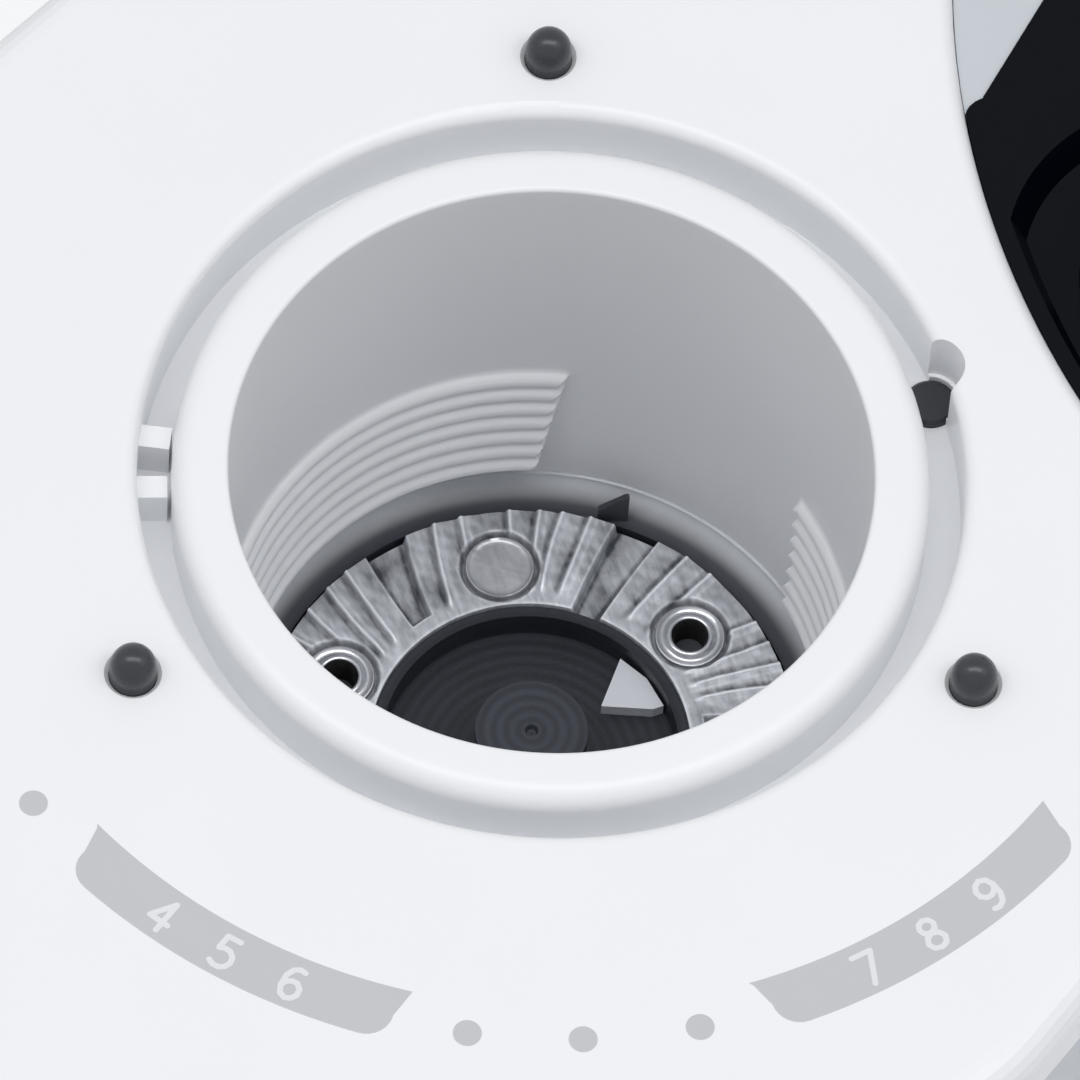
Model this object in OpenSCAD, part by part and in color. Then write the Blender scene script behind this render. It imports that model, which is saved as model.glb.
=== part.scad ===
// Compact flat-burr coffee grinder, open on top, with its bean hopper and upper burr taken off.
// Millimetres, +Z up. The origin is on the table, under the burr axis.
// The nose with the controls and the grounds jar points to -Y.

/* [Body] */
// Height of the top deck above the table
deck_z = 200; // [185:1:245]
// Half of the body's greatest width, at the shoulders
half_w = 68.9; // [68:0.1:80]
// Radius of the shoulders
shoulder_r = 25; // [22:0.5:27]
// Distance from the burr axis to the body's rear end
body_rear = 90; // [86:1:108]
// Radius of the rear end
rear_r = 46; // [42:1:50]
// Distance from the burr axis to the centre of the nose
nose_y = 76; // [66:1:94]
// Radius of the nose
nose_r = 26; // [22:0.5:32]
// Wall of the moulded covers
wall = 2.4; // [2:0.1:3]
// Radius of the hollow that the head cuts from the deck
scoop_r = 84; // [70:1:102]
// Closest distance from the burr axis to that hollow
scoop_near = 44; // [43.5:0.5:48]
// Height of the head above the jar
head_h = 84; // [78:1:92]
// Height of the foot that the jar stands on
tray_z = 14; // [11:1:18]
// Edge radius of the head's outer rim
head_edge = 7; // [3:0.5:9]
// Edge radius of the deck's outer rim
deck_edge = 3.2; // [2:0.2:4]

/* [Collar and moat] */
// Outer radius of the collar above the moat
collar_r = 32; // [31.5:0.1:33]
// Bore radius of the collar at its rim
collar_bore_r = 27.2; // [27:0.1:28]
// Radius of the moat's outer wall
moat_r = 34.9; // [34.5:0.1:36]
// Depth of the moat
moat_depth = 7; // [5:0.5:8]
// Depth at which the internal thread starts
thread_depth = 30.5; // [26:0.5:34]
// Height that the thread pads stand proud of the bore at their foot
thread_h = 2.2; // [1.6:0.1:2.3]
// Depth at which the thread pads end
thread_end = 44.5; // [42:0.5:45]
// Depth of the collar's lower end
sleeve_depth = 47.6; // [46.5:0.1:47.6]

/* [Burrs] */
// Outer radius of the burrs
burr_r = 23.4; // [22.8:0.1:23.8]
// Bore radius of the burrs
burr_bore_r = 14; // [13:0.1:15]
// Thickness of a burr's plate
burr_t = 3; // [2:0.1:4]
// Height of the burrs' teeth
tooth_h = 0.9; // [0.6:0.1:1.2]
// Number of sectors, each with a pocket and a rivet
burr_sectors = 6; // [4:1:6]
// Radius of the rivet circle
rivet_circle_r = 17.9; // [17.6:0.1:19]
// Radius of a rivet's head
rivet_r = 3.1; // [2.4:0.1:3.2]

/* [Detent pins and interlock] */
// Radius of the circle of the detent pins
pin_circle_r = 40.5; // [39.5:0.5:42]
// Radius of a detent pin
pin_r = 2; // [1.6:0.1:2.2]
// Height of a detent pin above the deck
pin_rise = 3.4; // [2.5:0.1:4]
// Travel of a detent pin
pin_travel = 3; // [2:0.1:4]
// Radius of the interlock plunger
plunger_r = 2.2; // [1.8:0.1:2.3]
// Travel of the interlock plunger
plunger_travel = 2; // [1:0.1:2.4]

/* [Drive] */
// Teeth of the gear on the burr spindle
gear_teeth = 51; // [48:1:54]
// Teeth of the motor pinion
pinion_teeth = 17; // [17:1:20]
// Gear module
gear_m = 1; // [0.9:0.05:1.05]
// Radius of the burr spindle
spindle_r = 3; // [2.5:0.1:4]
// Radius of the motor can
motor_r = 23.5; // [20:0.5:24]
// Height of the motor can
motor_h = 66; // [50:1:70]
// Radius of the motor shaft
shaft_r = 2.5; // [2:0.1:3]

/* [Jar] */
// Width of the grounds jar
jar_w = 84; // [70:1:88]
// Wall of the grounds jar
jar_wall = 2; // [1.6:0.1:3]
// Distance of the bay's back wall in front of the burr axis
bay_back = 30; // [29:0.5:36]

/* [Controls] */
// Distance of the dial in front of the burr axis
dial_y = 59; // [58:0.5:64]
// Radius of the dial
dial_r = 9.4; // [8:0.2:10.4]
// Radius of the dish round the dial
dish_r = 15.9; // [14:0.1:16.2]
// Radius of the start button
button_r = 8; // [6:0.5:9]
// Travel of the start button
button_travel = 2.5; // [1.5:0.1:3]

/* [Hidden] */
$fn = 72;
eps = 0.01;
big = 400;

// Running and assembly clearances
run_gap = 0.05;
fit_gap = 0.3;
skin_gap = 0.4;

// Levels
foot_h = 3;
plate_t = 3;
base_top = foot_h + plate_t;
lip_h = 7;
deck_t = 3;
moat_z = deck_z - moat_depth;
moat_floor_t = 2;
sleeve_z = deck_z - sleeve_depth;
face_z = deck_z - 48;
carrier_z = face_z - tooth_h - burr_t;
pan_z = carrier_z - 9;
head_z = deck_z - head_h;
head_top = deck_z - 1.6;
gear_t = 8;
bearing_h = 5;
bearing_r = 6.5;
tube_h = 18;
tube_z = pan_z - 2 - tube_h;
gear_top = tube_z - 1;
gear_z = gear_top - gear_t;
plate_z = gear_z - 7;
motor_z = plate_z - motor_h;
scoop_y = scoop_near + scoop_r;

// Directions of the details round the burr axis
pin_angles = [98.2, -141.8, -21.8];
plunger_circle_r = 34.2;
plunger_angle = -93.8;
stop_angles = [61, 69.3];
stop_w = 2.1;
rivet_angle = -13.5;
pocket_angle = 16.5;
gap_angle = -53;
gap_width = 51;
bore_draft = 0.2;
key_angle = -36.9;
fin_turn = -74.6;
ring_w = collar_bore_r - bore_draft - burr_r - 0.45;
housing_in = 28.5;
housing_out = 32;

module polar(r, a) rotate(a) translate([r, 0, 0]) rotate(-a) children();

// Circles of the body's plan: both shoulders, the rear end and the nose
shoulder = [half_w - shoulder_r, -4.5];
rear = [0, body_rear - rear_r];
nose = [0, -nose_y];
plan_circles = [[[-shoulder[0], shoulder[1]], shoulder_r], [shoulder, shoulder_r], [rear, rear_r],
    [nose, nose_r]];

// Plan of the whole body, set in by a distance
module plan(inset = 0) {
    hull() for (c = plan_circles) translate(c[0]) circle(r = c[1] - inset, $fn = 96);
}

// Distance from the burr axis, in direction a, to the straight side that joins a shoulder to
// the end circle c of radius r; turn is 1 for the rear and -1 for the nose
function side_r(c, r, turn, a) = let (d = shoulder - c,
    n = atan2(d[1], d[0]) + turn * acos((r - shoulder_r) / norm(d)))
    (shoulder * [cos(n), sin(n)] + shoulder_r) / cos(a - n);

// A disc with a rounded upper edge
module rounded_disc(r, z0, z1, edge) {
    rotate_extrude($fn = 96) {
        translate([0, z0]) square([r, z1 - z0 - edge]);
        translate([0, z0]) square([r - edge, z1 - z0]);
        translate([r - edge, z1 - edge]) intersection() {
            circle(r = edge, $fn = 24);
            square(edge);
        }
    }
}

// The plan raised to a slab with a rounded upper edge
module rounded_slab(z0, z1, edge, inset = 0) {
    hull() for (c = plan_circles) translate(c[0]) rounded_disc(c[1] - inset, z0, z1, edge);
}

// Everything in front of the hollow, less a distance
module head_zone(gap, z0 = 0, z1 = big) {
    translate([0, -scoop_y, z0]) cylinder(r = scoop_r - gap, h = z1 - z0, $fn = 180);
}

// ------------------------------------------------------------------ covers

module deck_boss(r_out, r_in, z0) {
    difference() {
        translate([0, 0, z0]) cylinder(r = r_out, h = deck_z - deck_t - z0 + eps, $fn = 36);
        translate([0, 0, z0 - 1]) cylinder(r = r_in, h = deck_z - deck_t - z0 + 1, $fn = 36);
    }
}

boss_z = deck_z - 20;
bay_front = 46;
foot_top = tray_z - 0.3;
pin_flange_r = 3.2;
plunger_z = moat_z - moat_floor_t - 4;
plunger_top = moat_z + 0.7;
switch_z = plunger_z - plunger_travel - 10.5;
bracket_r = 38.4;
screw_posts = [[-44, 26], [44, 26], [-47, -20], [47, -20]];
motor_posts = [[-35, 20.7], [35, 20.7], [-20, 48], [20, 48]];

module top_deck() {
    color("white") difference() {
        union() {
            difference() {
                rounded_slab(deck_z - lip_h, deck_z, deck_edge);
                translate([0, 0, deck_z - lip_h - 1]) linear_extrude(lip_h - deck_t + 1) plan(2.2);
                head_zone(0);
                // Softened edge along the hollow
                translate([0, -scoop_y, deck_z]) rotate_extrude($fn = 180) difference() {
                    translate([scoop_r - 1, -1.5]) square([2.5, 2.5]);
                    translate([scoop_r + 1.5, -1.5]) circle(r = 1.5, $fn = 32);
                }
            }
            // Wall that closes the deck along the hollow
            intersection() {
                translate([0, 0, deck_z - lip_h]) linear_extrude(lip_h - deck_t + eps) plan(1.5);
                difference() {
                    head_zone(-2, deck_z - lip_h, deck_z - deck_t + eps);
                    head_zone(0);
                }
            }
            // Moat trough, with more wall where the interlock plunger cuts into it
            translate([0, 0, moat_z - moat_floor_t])
                cylinder(r = moat_r + 2, h = moat_depth + moat_floor_t - deck_t + eps, $fn = 96);
            polar(plunger_circle_r, plunger_angle) translate([0, 0, moat_z - moat_floor_t]) {
                cylinder(r = plunger_r + 1.8, h = moat_depth + moat_floor_t - deck_t + eps, $fn = 36);
            }
            for (a = pin_angles) polar(pin_circle_r, a) deck_boss(4.8, pin_flange_r + run_gap, boss_z);
            for (p = screw_posts) translate([p[0], p[1], pan_z + 2]) {
                cylinder(r = 4, h = deck_z - deck_t - pan_z - 2 + eps, $fn = 36);
            }
            // Bracket that carries the interlock switch
            rotate(plunger_angle) translate([bracket_r, -8, switch_z]) {
                cube([2, 16, deck_z - deck_t - switch_z + eps]);
            }
        }
        // Moat, with its softened outer edge
        translate([0, 0, moat_z]) cylinder(r = moat_r, h = moat_depth + 1, $fn = 96);
        translate([0, 0, deck_z]) rotate_extrude($fn = 96) difference() {
            translate([moat_r - 1, -1.2]) square([2.2, 2.2]);
            translate([moat_r + 1.2, -1.2]) circle(r = 1.2, $fn = 32);
        }
        translate([0, 0, moat_z - moat_floor_t - 1]) cylinder(r = collar_r - 1 + 0.1, h = big, $fn = 96);
        for (a = pin_angles) polar(pin_circle_r, a) {
            translate([0, 0, deck_z - deck_t - 1]) cylinder(r = pin_r + run_gap, h = deck_t + 2, $fn = 36);
            translate([0, 0, deck_z - 0.4]) {
                cylinder(r1 = pin_r + run_gap, r2 = pin_r + 0.8, h = 0.8, $fn = 36);
            }
        }
        // Pocket and bore for the interlock plunger
        polar(plunger_circle_r, plunger_angle) {
            translate([0, 0, moat_z + 1]) cylinder(r = plunger_r + 0.35, h = moat_depth, $fn = 36);
            translate([0, 0, moat_z - moat_floor_t - 1]) {
                cylinder(r = plunger_r + run_gap, h = moat_floor_t + 3, $fn = 36);
            }
        }
    }
    // Two stops for the hopper's tab on the moat floor
    color("white") for (a = stop_angles) {
        intersection() {
            difference() {
                translate([0, 0, moat_z - 0.5]) cylinder(r = moat_r + 0.5, h = moat_depth - 2.5, $fn = 96);
                translate([0, 0, moat_z - 1]) cylinder(r = collar_r + fit_gap, h = moat_depth, $fn = 96);
            }
            rotate(a) translate([20, -stop_w / 2, moat_z - 1]) cube([20, stop_w, moat_depth]);
        }
    }
}

module burr_collar() {
    color("white") difference() {
        union() {
            rotate_extrude($fn = 120) difference() {
                union() {
                    translate([0, sleeve_z]) square([collar_r - 1, moat_z - sleeve_z + eps]);
                    translate([0, moat_z]) square([collar_r, moat_depth - 2]);
                    translate([collar_r - 2, deck_z - 2]) circle(r = 2, $fn = 32);
                    translate([0, moat_z]) square([collar_r - 2, moat_depth]);
                }
                // Bore with a small step where the thread starts
                polygon([[0, sleeve_z - 1], [collar_bore_r - bore_draft, sleeve_z - 1],
                    [collar_bore_r, deck_z - thread_depth], [collar_bore_r, deck_z - 0.4],
                    [collar_bore_r + 0.4, deck_z], [collar_bore_r + 0.4, deck_z + 1], [0, deck_z + 1]]);
            }
            // Two tapered thread pads with plain gaps between them
            for (k = [0, 1]) rotate(gap_angle + gap_width / 2 + 180 * k) {
                rotate_extrude(angle = 180 - gap_width, $fn = 120) {
                    polygon([[collar_bore_r - thread_h, deck_z - thread_end],
                        [collar_bore_r + 0.5, deck_z - thread_end],
                        [collar_bore_r + 0.5, deck_z - thread_depth - 0.3],
                        [collar_bore_r, deck_z - thread_depth - 0.3],
                        [collar_bore_r - 0.7, deck_z - thread_depth - 1.2]]);
                }
            }
        }
        polar(plunger_circle_r, plunger_angle) {
            translate([0, 0, moat_z - 1]) cylinder(r = plunger_r + 0.35, h = moat_depth + 2, $fn = 36);
        }
    }
}

shell_top = deck_z - lip_h;
shell_draft = 3.4;
base_holes = [for (p = screw_posts) [p[0] * 0.9, p[1] * 0.9]];

module shell_form(inset, z0, z1) {
    hull() {
        translate([0, 0, z0]) linear_extrude(eps) plan(shell_draft + inset);
        translate([0, 0, z1 - eps]) linear_extrude(eps) plan(1.2 + inset);
    }
}

module body_shell() {
    color("gainsboro") difference() {
        shell_form(0, foot_h + 1, shell_top);
        translate([0, 0, -eps]) shell_form(wall, foot_h, shell_top + 2);
        // The head's place, and the jar's bay below it
        head_zone(0, head_z - floor_t - 0.2);
        translate([-jar_w / 2 - wall - 0.5, -200, foot_top]) {
            cube([jar_w + 2 * wall + 1, 200 - bay_back, head_z - foot_top]);
        }
        translate([-big / 2, -200, 0]) cube([big, 200 - nose_y + 10, tray_z]);
        // Vents at the back and the hole of the cord gland
        for (i = [0:6]) translate([-24 + 8 * i - 1.5, rear[1] + 10, 30]) cube([3, rear_r, 34]);
        translate([0, rear[1] + 10, 18]) rotate([-90, 0, 0]) cylinder(r = 5, h = rear_r, $fn = 36);
    }
    // Screw bosses on ribs
    color("gainsboro") for (p = base_holes) translate([p[0], p[1], base_top]) {
        a = atan2(p[1], p[0]);
        b = atan2(p[1], abs(p[0]));
        side = p[1] > 0 ? side_r(rear, rear_r, 1, b) : side_r(nose, nose_r, -1, b);
        reach = side - shell_draft - wall / 2 - norm(p);
        difference() {
            union() {
                cylinder(r = 4, h = 18, $fn = 36);
                rotate(a) translate([0, -1, 0]) cube([reach, 2, 18]);
            }
            translate([0, 0, -1]) cylinder(r = 1.6, h = 16, $fn = 24);
        }
    }
}

module base_plate() {
    color("dimgray") difference() {
        union() {
            translate([0, 0, foot_h]) linear_extrude(plate_t) plan(shell_draft + wall + 0.6);
            // Foot under the jar, flush with the covers at the nose
            translate([0, 0, foot_h]) linear_extrude(foot_top - foot_h) intersection() {
                plan(2.2);
                translate([-big / 2, -200]) square([big, 200 - nose_y + 9.4]);
            }
            translate([0, 0, foot_h]) linear_extrude(foot_top - foot_h) intersection() {
                plan(shell_draft + wall + 0.6);
                translate([-jar_w / 2 - wall - 0.4, -200]) {
                    square([jar_w + 2 * wall + 0.8, 200 - bay_back + wall + 0.2]);
                }
            }
        }
        for (p = base_holes) translate([p[0], p[1], 0]) cylinder(r = 1.8, h = base_top + 1, $fn = 24);
        // Hollow underside of the foot, behind its rim
        translate([0, 0, foot_h - 1]) linear_extrude(foot_top - foot_h - 2) intersection() {
            plan(shell_draft + wall + 3);
            translate([-30, -nose_y - 2]) square([60, nose_y - bay_back - 8]);
        }
    }
}

foot_places = [[-32, 50], [32, 50], [-15, -84], [15, -84]];

module rubber_feet() {
    color("black") for (p = foot_places) translate([p[0], p[1], 0]) {
        rotate_extrude($fn = 36) polygon([[0, 0], [5, 0], [5.6, 0.6], [6, foot_h], [0, foot_h]]);
    }
}

module base_screws() {
    color("silver") for (p = base_holes) translate([p[0], p[1], foot_h - 1.2]) {
        cylinder(r = 3, h = 1.2, $fn = 24);
        translate([0, 0, 1]) cylinder(r = 1.5, h = 12, $fn = 24);
    }
}

head_gap = 0.1;
floor_t = 2.4;

module head_cover() {
    color("lightsteelblue") difference() {
        union() {
            difference() {
                intersection() {
                    rounded_slab(head_z, head_top, head_edge, 1.2);
                    head_zone(head_gap, 0, big);
                }
                intersection() {
                    rounded_slab(head_z - 1, head_top - wall, head_edge - wall, 1.2 + wall);
                    head_zone(head_gap + wall, 0, big);
                }
            }
            // Bosses for the timer's board, and the wall that guides the start button
            for (x = [-board_x, board_x]) translate([x, -board_y, board_z]) {
                cylinder(r = 3.5, h = head_top - wall - board_z + eps, $fn = 32);
            }
            translate([0, 0, button_z - 12]) linear_extrude(24) intersection() {
                plan(1.2 + wall / 2);
                translate([-big / 2, guide_y]) square([big, 2.5]);
            }
        }
        translate([0, 0, head_top - 1.2]) linear_extrude(5) panel_plan(-0.1);
        intersection() {
            translate([0, -dial_y, head_top - 4.3]) cylinder(r = dish_r + 0.9, h = 6, $fn = 96);
            head_zone(1.1);
        }
        translate([0, -nose_y - nose_r - 5, button_z]) rotate([-90, 0, 0]) {
            cylinder(r = button_r + run_gap, h = 16, $fn = 48);
            cylinder(r = 2.4 + run_gap, h = 40, $fn = 36);
        }
        // Mouth for the chute in the rear wall
        translate([-chute_w / 2 - 0.4, -scoop_near - 16, head_z - 1]) {
            cube([chute_w + 0.8, 18, pan_z + 5 - head_z]);
        }
    }
}

// The glossy panel: its rear edge follows the hollow, its sides spread to the front
dish_depth = 2.4;
panel_half = 21.2;
panel_spread = 39.4;
panel_rear = 0.1;

module panel_plan(inset = 0) {
    offset(r = 2, $fn = 24) offset(delta = -2 - inset) intersection() {
        plan(6.5);
        translate([0, -scoop_y]) circle(r = scoop_r - panel_rear, $fn = 180);
        polygon([[-panel_half, 0], [panel_half, 0], [panel_half, -scoop_near - 4.6],
            [panel_half + 60 * sin(panel_spread), -scoop_near - 4.6 - 60 * cos(panel_spread)], [0, -big],
            [-panel_half - 60 * sin(panel_spread), -scoop_near - 4.6 - 60 * cos(panel_spread)],
            [-panel_half, -scoop_near - 4.6]]);
    }
}

module control_panel() {
    color("black") difference() {
        union() {
            translate([0, 0, head_top - 1.2]) linear_extrude(1.5) panel_plan();
            intersection() {
                translate([0, -dial_y, head_top - 4]) cylinder(r = dish_r + 0.6, h = 3.8, $fn = 96);
                head_zone(1.3);
            }
        }
        // Dish round the dial, cut off along the hollow
        intersection() {
            translate([0, -dial_y, head_top - dish_depth]) {
                cylinder(r1 = dish_r - 1.6, r2 = dish_r + 0.18, h = 3, $fn = 96);
            }
            translate([0, -scoop_y, head_top - dish_depth]) {
                cylinder(r1 = scoop_r - 2.9, r2 = scoop_r - 1.4, h = 3, $fn = 180);
            }
        }
        translate([0, -dial_y, head_top - 6]) cylinder(r = 3 + run_gap, h = 10, $fn = 36);
    }
}

module timer_dial() {
    color("dimgray") translate([0, -dial_y, 0]) {
        difference() {
            translate([0, 0, head_top - dish_depth + 0.3]) rotate_extrude($fn = 72) {
                polygon([[0, 0], [dial_r - 0.6, 0], [dial_r, 0.8], [dial_r - 0.8, 7.7],
                    [dial_r - 1.8, 8.5], [0, 8.5]]);
            }
            // Finger flutes round the dial
            for (a = [0:20:339]) rotate(a) translate([dial_r + 0.6, 0, head_top + 0.7]) {
                cylinder(r = 1.2, h = 10, $fn = 16);
            }
        }
        translate([0, 0, board_z + 2 + fit_gap]) cylinder(r = 3, h = head_top - board_z - 2, $fn = 36);
    }
}

button_z = head_z + 46;
button_y = -nose_y - nose_r;
guide_y = button_y + 16;

module start_button() {
    color("black") translate([0, button_y, button_z]) rotate([-90, 0, 0]) {
        translate([0, 0, -1.2]) rotate_extrude($fn = 48) {
            polygon([[0, 0.2], [button_r - 2, 0], [button_r - 0.7, 0.3], [button_r, 1.2],
                [button_r, 7.6], [0, 7.6]]);
        }
        // Retaining flange and stem
        translate([0, 0, 6.2]) cylinder(r = button_r + 1.4, h = 1.8, $fn = 48);
        cylinder(r = 2.4, h = 17.6, $fn = 24);
    }
}

module start_switch() {
    color("dimgray") difference() {
        translate([-7, guide_y + 2.5, button_z - 8]) cube([14, 8, 16]);
        translate([0, guide_y, button_z]) rotate([-90, 0, 0]) cylinder(r = 3, h = 6, $fn = 36);
    }
}

// A helical wire of round turns, swept as one polyhedron
module coil(r, wire, h, turns, steps = 12, sides = 6) {
    n = turns * steps;
    points = [for (i = [0:n]) let (a = 360 * i / steps, z = h * i / n) for (j = [0:sides - 1])
        let (b = 360 * j / sides, q = r + wire * cos(b)) [q * cos(a), q * sin(a), z + wire * sin(b)]];
    skin = [for (i = [0:n - 1]) for (j = [0:sides - 1]) let (k = (j + 1) % sides)
        [(i + 1) * sides + j, (i + 1) * sides + k, i * sides + k, i * sides + j]];
    start = [for (j = [0:sides - 1]) j];
    finish = [for (j = [sides - 1:-1:0]) n * sides + j];
    polyhedron(points = points, faces = concat(skin, [start, finish]));
}

board_z = deck_z - 22;
board_x = 21.5;
board_y = dial_y - 3;

module timer_board() {
    color("darkgreen") {
        translate([-25.5, -dial_y - 14, board_z - 1.6]) cube([51, 21, 1.6]);
        translate([0, -dial_y, board_z - eps]) cylinder(r = 6, h = 2, $fn = 36);
    }
}

module head_floor() {
    color("lightsteelblue") difference() {
        translate([0, 0, head_z - floor_t]) linear_extrude(floor_t) union() {
            intersection() {
                plan(shell_draft + wall + 0.4);
                translate([-big / 2, -200]) square([big, 200 - bay_back + 2]);
            }
            intersection() {
                plan(1.2);
                translate([0, -scoop_y]) circle(r = scoop_r - head_gap, $fn = 180);
            }
        }
        translate([-chute_w / 2 - 0.3, -chute_front - 0.3, head_z - floor_t - 1]) {
            cube([chute_w + 0.6, chute_front - chute_back + 2.2, floor_t + 2]);
        }
    }
}

module bay_liner() {
    color("gray") difference() {
        translate([-jar_w / 2 - wall - 0.2, -bay_front, foot_top]) {
            cube([jar_w + 2 * wall + 0.4, bay_front - bay_back + wall, head_z - floor_t - foot_top]);
        }
        translate([-jar_w / 2 - 0.2, -bay_front - 1, foot_top - 1]) {
            cube([jar_w + 0.4, bay_front - bay_back + 1, big]);
        }
    }
}

// ------------------------------------------------------------------ jar

jar_top = head_z - floor_t - 2;
lid_t = 2.4;
jar_back = bay_back + 0.8;

module jar_plan(inset = 0) {
    offset(r = 4, $fn = 32) offset(delta = -4 - inset) intersection() {
        plan(2.6);
        translate([-jar_w / 2 + 0.6, -200]) square([jar_w - 1.2, 200 - jar_back]);
    }
}

module grounds_jar() {
    color("dimgray", 0.6) difference() {
        translate([0, 0, tray_z]) linear_extrude(jar_top - lid_t - tray_z) jar_plan();
        translate([0, 0, tray_z + jar_wall + 0.4]) linear_extrude(big) jar_plan(jar_wall);
    }
}

module jar_lid() {
    color("dimgray") difference() {
        union() {
            translate([0, 0, jar_top - lid_t]) linear_extrude(lid_t) jar_plan();
            translate([0, 0, jar_top - lid_t - 3]) linear_extrude(3 + eps) jar_plan(jar_wall + 0.3);
        }
        translate([0, 0, jar_top - lid_t - 4]) linear_extrude(4) jar_plan(jar_wall + 2);
        translate([-15, -chute_front - 3, jar_top - 10]) cube([30, chute_front - chute_back + 6, 20]);
    }
}

// ------------------------------------------------------------------ grinding chamber

chute_w = 24;
chute_front = 72;
chute_back = 48;

module grind_housing() {
    color("gray") difference() {
        union() {
            translate([0, 0, pan_z - 2]) cylinder(r = housing_out, h = sleeve_z - pan_z + 2, $fn = 96);
            translate([0, 0, tube_z]) cylinder(r = bearing_r + 2.5, h = tube_h + eps, $fn = 48);
            // Arms out to the posts of the deck and of the motor plate
            for (p = concat(screw_posts, [motor_posts[2], motor_posts[3]])) hull() {
                translate([p[0], p[1], pan_z - 2]) cylinder(r = 5, h = 4, $fn = 32);
                translate([p[0] * 0.5, p[1] * 0.5, pan_z - 2]) cylinder(r = 7, h = 4, $fn = 32);
            }
        }
        translate([0, 0, pan_z]) cylinder(r = housing_in, h = big, $fn = 96);
        translate([0, 0, tube_z - 1]) cylinder(r = bearing_r, h = bearing_h + 1, $fn = 48);
        translate([0, 0, pan_z - bearing_h]) cylinder(r = bearing_r, h = bearing_h + 1, $fn = 48);
        translate([0, 0, tube_z - 1]) cylinder(r = spindle_r + 1.5, h = big, $fn = 36);
        // Outlet to the chute
        translate([-chute_w / 2 + 2, -housing_out - 1, pan_z]) cube([chute_w - 4, 12, 9]);
        for (p = concat(screw_posts, motor_posts)) translate([p[0], p[1], pan_z - 3]) {
            cylinder(r = 1.7, h = 6, $fn = 24);
        }
    }
}

module grind_chute() {
    color("dimgray") difference() {
        hull() {
            translate([-chute_w / 2, -housing_out - 3, pan_z - 2]) cube([chute_w, 1, 13]);
            translate([-chute_w / 2, -chute_front, head_z - floor_t]) {
                cube([chute_w, chute_front - chute_back, 4]);
            }
        }
        hull() {
            translate([-chute_w / 2 + 2, -housing_out - 3, pan_z]) cube([chute_w - 4, 2, 9]);
            translate([-chute_w / 2 + 2, -chute_front + 2, head_z - floor_t - 1]) {
                cube([chute_w - 4, chute_front - chute_back - 4, 5]);
            }
        }
    }
    // Flange against the chamber's wall
    color("dimgray") difference() {
        translate([-chute_w / 2 - 2, -housing_out - 2, pan_z - 2]) cube([chute_w + 4, 5, 13]);
        translate([-chute_w / 2 + 2, -housing_out - 3, pan_z]) cube([chute_w - 4, 8, 9]);
        cylinder(r = housing_out + 0.03, h = big, $fn = 96);
    }
}

module chamber_ring() {
    color("dimgray") {
        difference() {
            rotate_extrude($fn = 96) polygon(concat([[housing_in - 0.1, face_z - 4],
                [burr_r + 0.4, face_z - 4]], [for (i = [0:6]) [burr_r + 0.4 + ring_w * sin(15 * i),
                face_z - 1.4 + (sleeve_z - face_z + 1.3) * (1 - cos(15 * i))]],
                [[housing_in - 0.1, sleeve_z - 0.1]]));
            // Gap that drops the grounds to the outlet
            translate([-6.5, -housing_in, face_z - 5]) cube([13, 5, 8]);
        }
        // Thin fin that ploughs the grounds off the ring, with a sloping top edge
        rotate(key_angle) translate([burr_r + 0.6, 0, face_z - 2]) rotate(fin_turn) {
            rotate([90, 0, 0]) translate([0, 0, -0.25]) linear_extrude(0.5) {
                polygon([[-0.2, 0], [2.5, 0], [2.5, 4.7], [2.2, 4.8], [-0.2, 2.6]]);
            }
        }
    }
}

// One burr with its teeth towards +Z; z = 0 is the back of the plate
pocket_half = 5.5;
tooth_pitch = 6;
tooth_lean = 14;

module burr_teeth_zone(r0, r1, z0, h) {
    translate([0, 0, z0]) difference() {
        cylinder(r = r1, h = h, $fn = 96);
        translate([0, 0, -1]) cylinder(r = r0, h = h + 2, $fn = 96);
    }
}

module burr_tooth(a, z, w, h) {
    // A ridge with one steep and one sloping flank
    rotate(a) translate([burr_r, 0, z]) rotate(-tooth_lean) rotate([90, 0, -90]) translate([0, 0, -1]) {
        linear_extrude(burr_r - burr_bore_r + 1.6) {
            polygon([[-w * 0.15, -0.3], [-w * 0.15, h], [0, h], [w, 0], [w, -0.3]]);
        }
    }
}

module burr(seed_angle) {
    top = burr_t + tooth_h;
    difference() {
        union() {
            cylinder(r = burr_r, h = burr_t, $fn = 96);
            intersection() {
                burr_teeth_zone(burr_bore_r, burr_r - 0.06, burr_t - 0.2, tooth_h + 0.2);
                union() {
                    for (s = [0:burr_sectors - 1], k = [0:7]) {
                        rotate(seed_angle + 360 / burr_sectors * s) {
                            burr_tooth(pocket_half + 0.42 + tooth_pitch * k, burr_t, 1.9, tooth_h);
                        }
                    }
                }
            }
            // Plain rim round the bore
            cylinder(r = burr_bore_r + 1.4, h = burr_t + 0.35, $fn = 96);
        }
        translate([0, 0, -1]) cylinder(r = burr_bore_r, h = top + 2, $fn = 96);
        // Feed pockets, every other one open to the bore
        for (s = [0:burr_sectors - 1]) rotate(seed_angle + 360 / burr_sectors * s) {
            translate([0, 0, burr_t - 1.1]) linear_extrude(5) polygon([
                [burr_bore_r + (s % 2 == 0 ? 1.3 : -2), 2.9], [burr_r + 1, -2], [burr_r + 1, 2.4],
                [burr_bore_r + (s % 2 == 0 ? 1.3 : -2), 5]]);
        }
        // Seats of the rivets
        for (s = [0:burr_sectors - 1]) rotate(seed_angle - 30 + 360 / burr_sectors * s) {
            translate([rivet_circle_r, 0, burr_t - 0.6]) cylinder(r = rivet_r + 0.35, h = 5, $fn = 36);
            translate([rivet_circle_r, 0, -1]) cylinder(r = 1.9, h = 9, $fn = 24);
        }
    }
}

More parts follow.
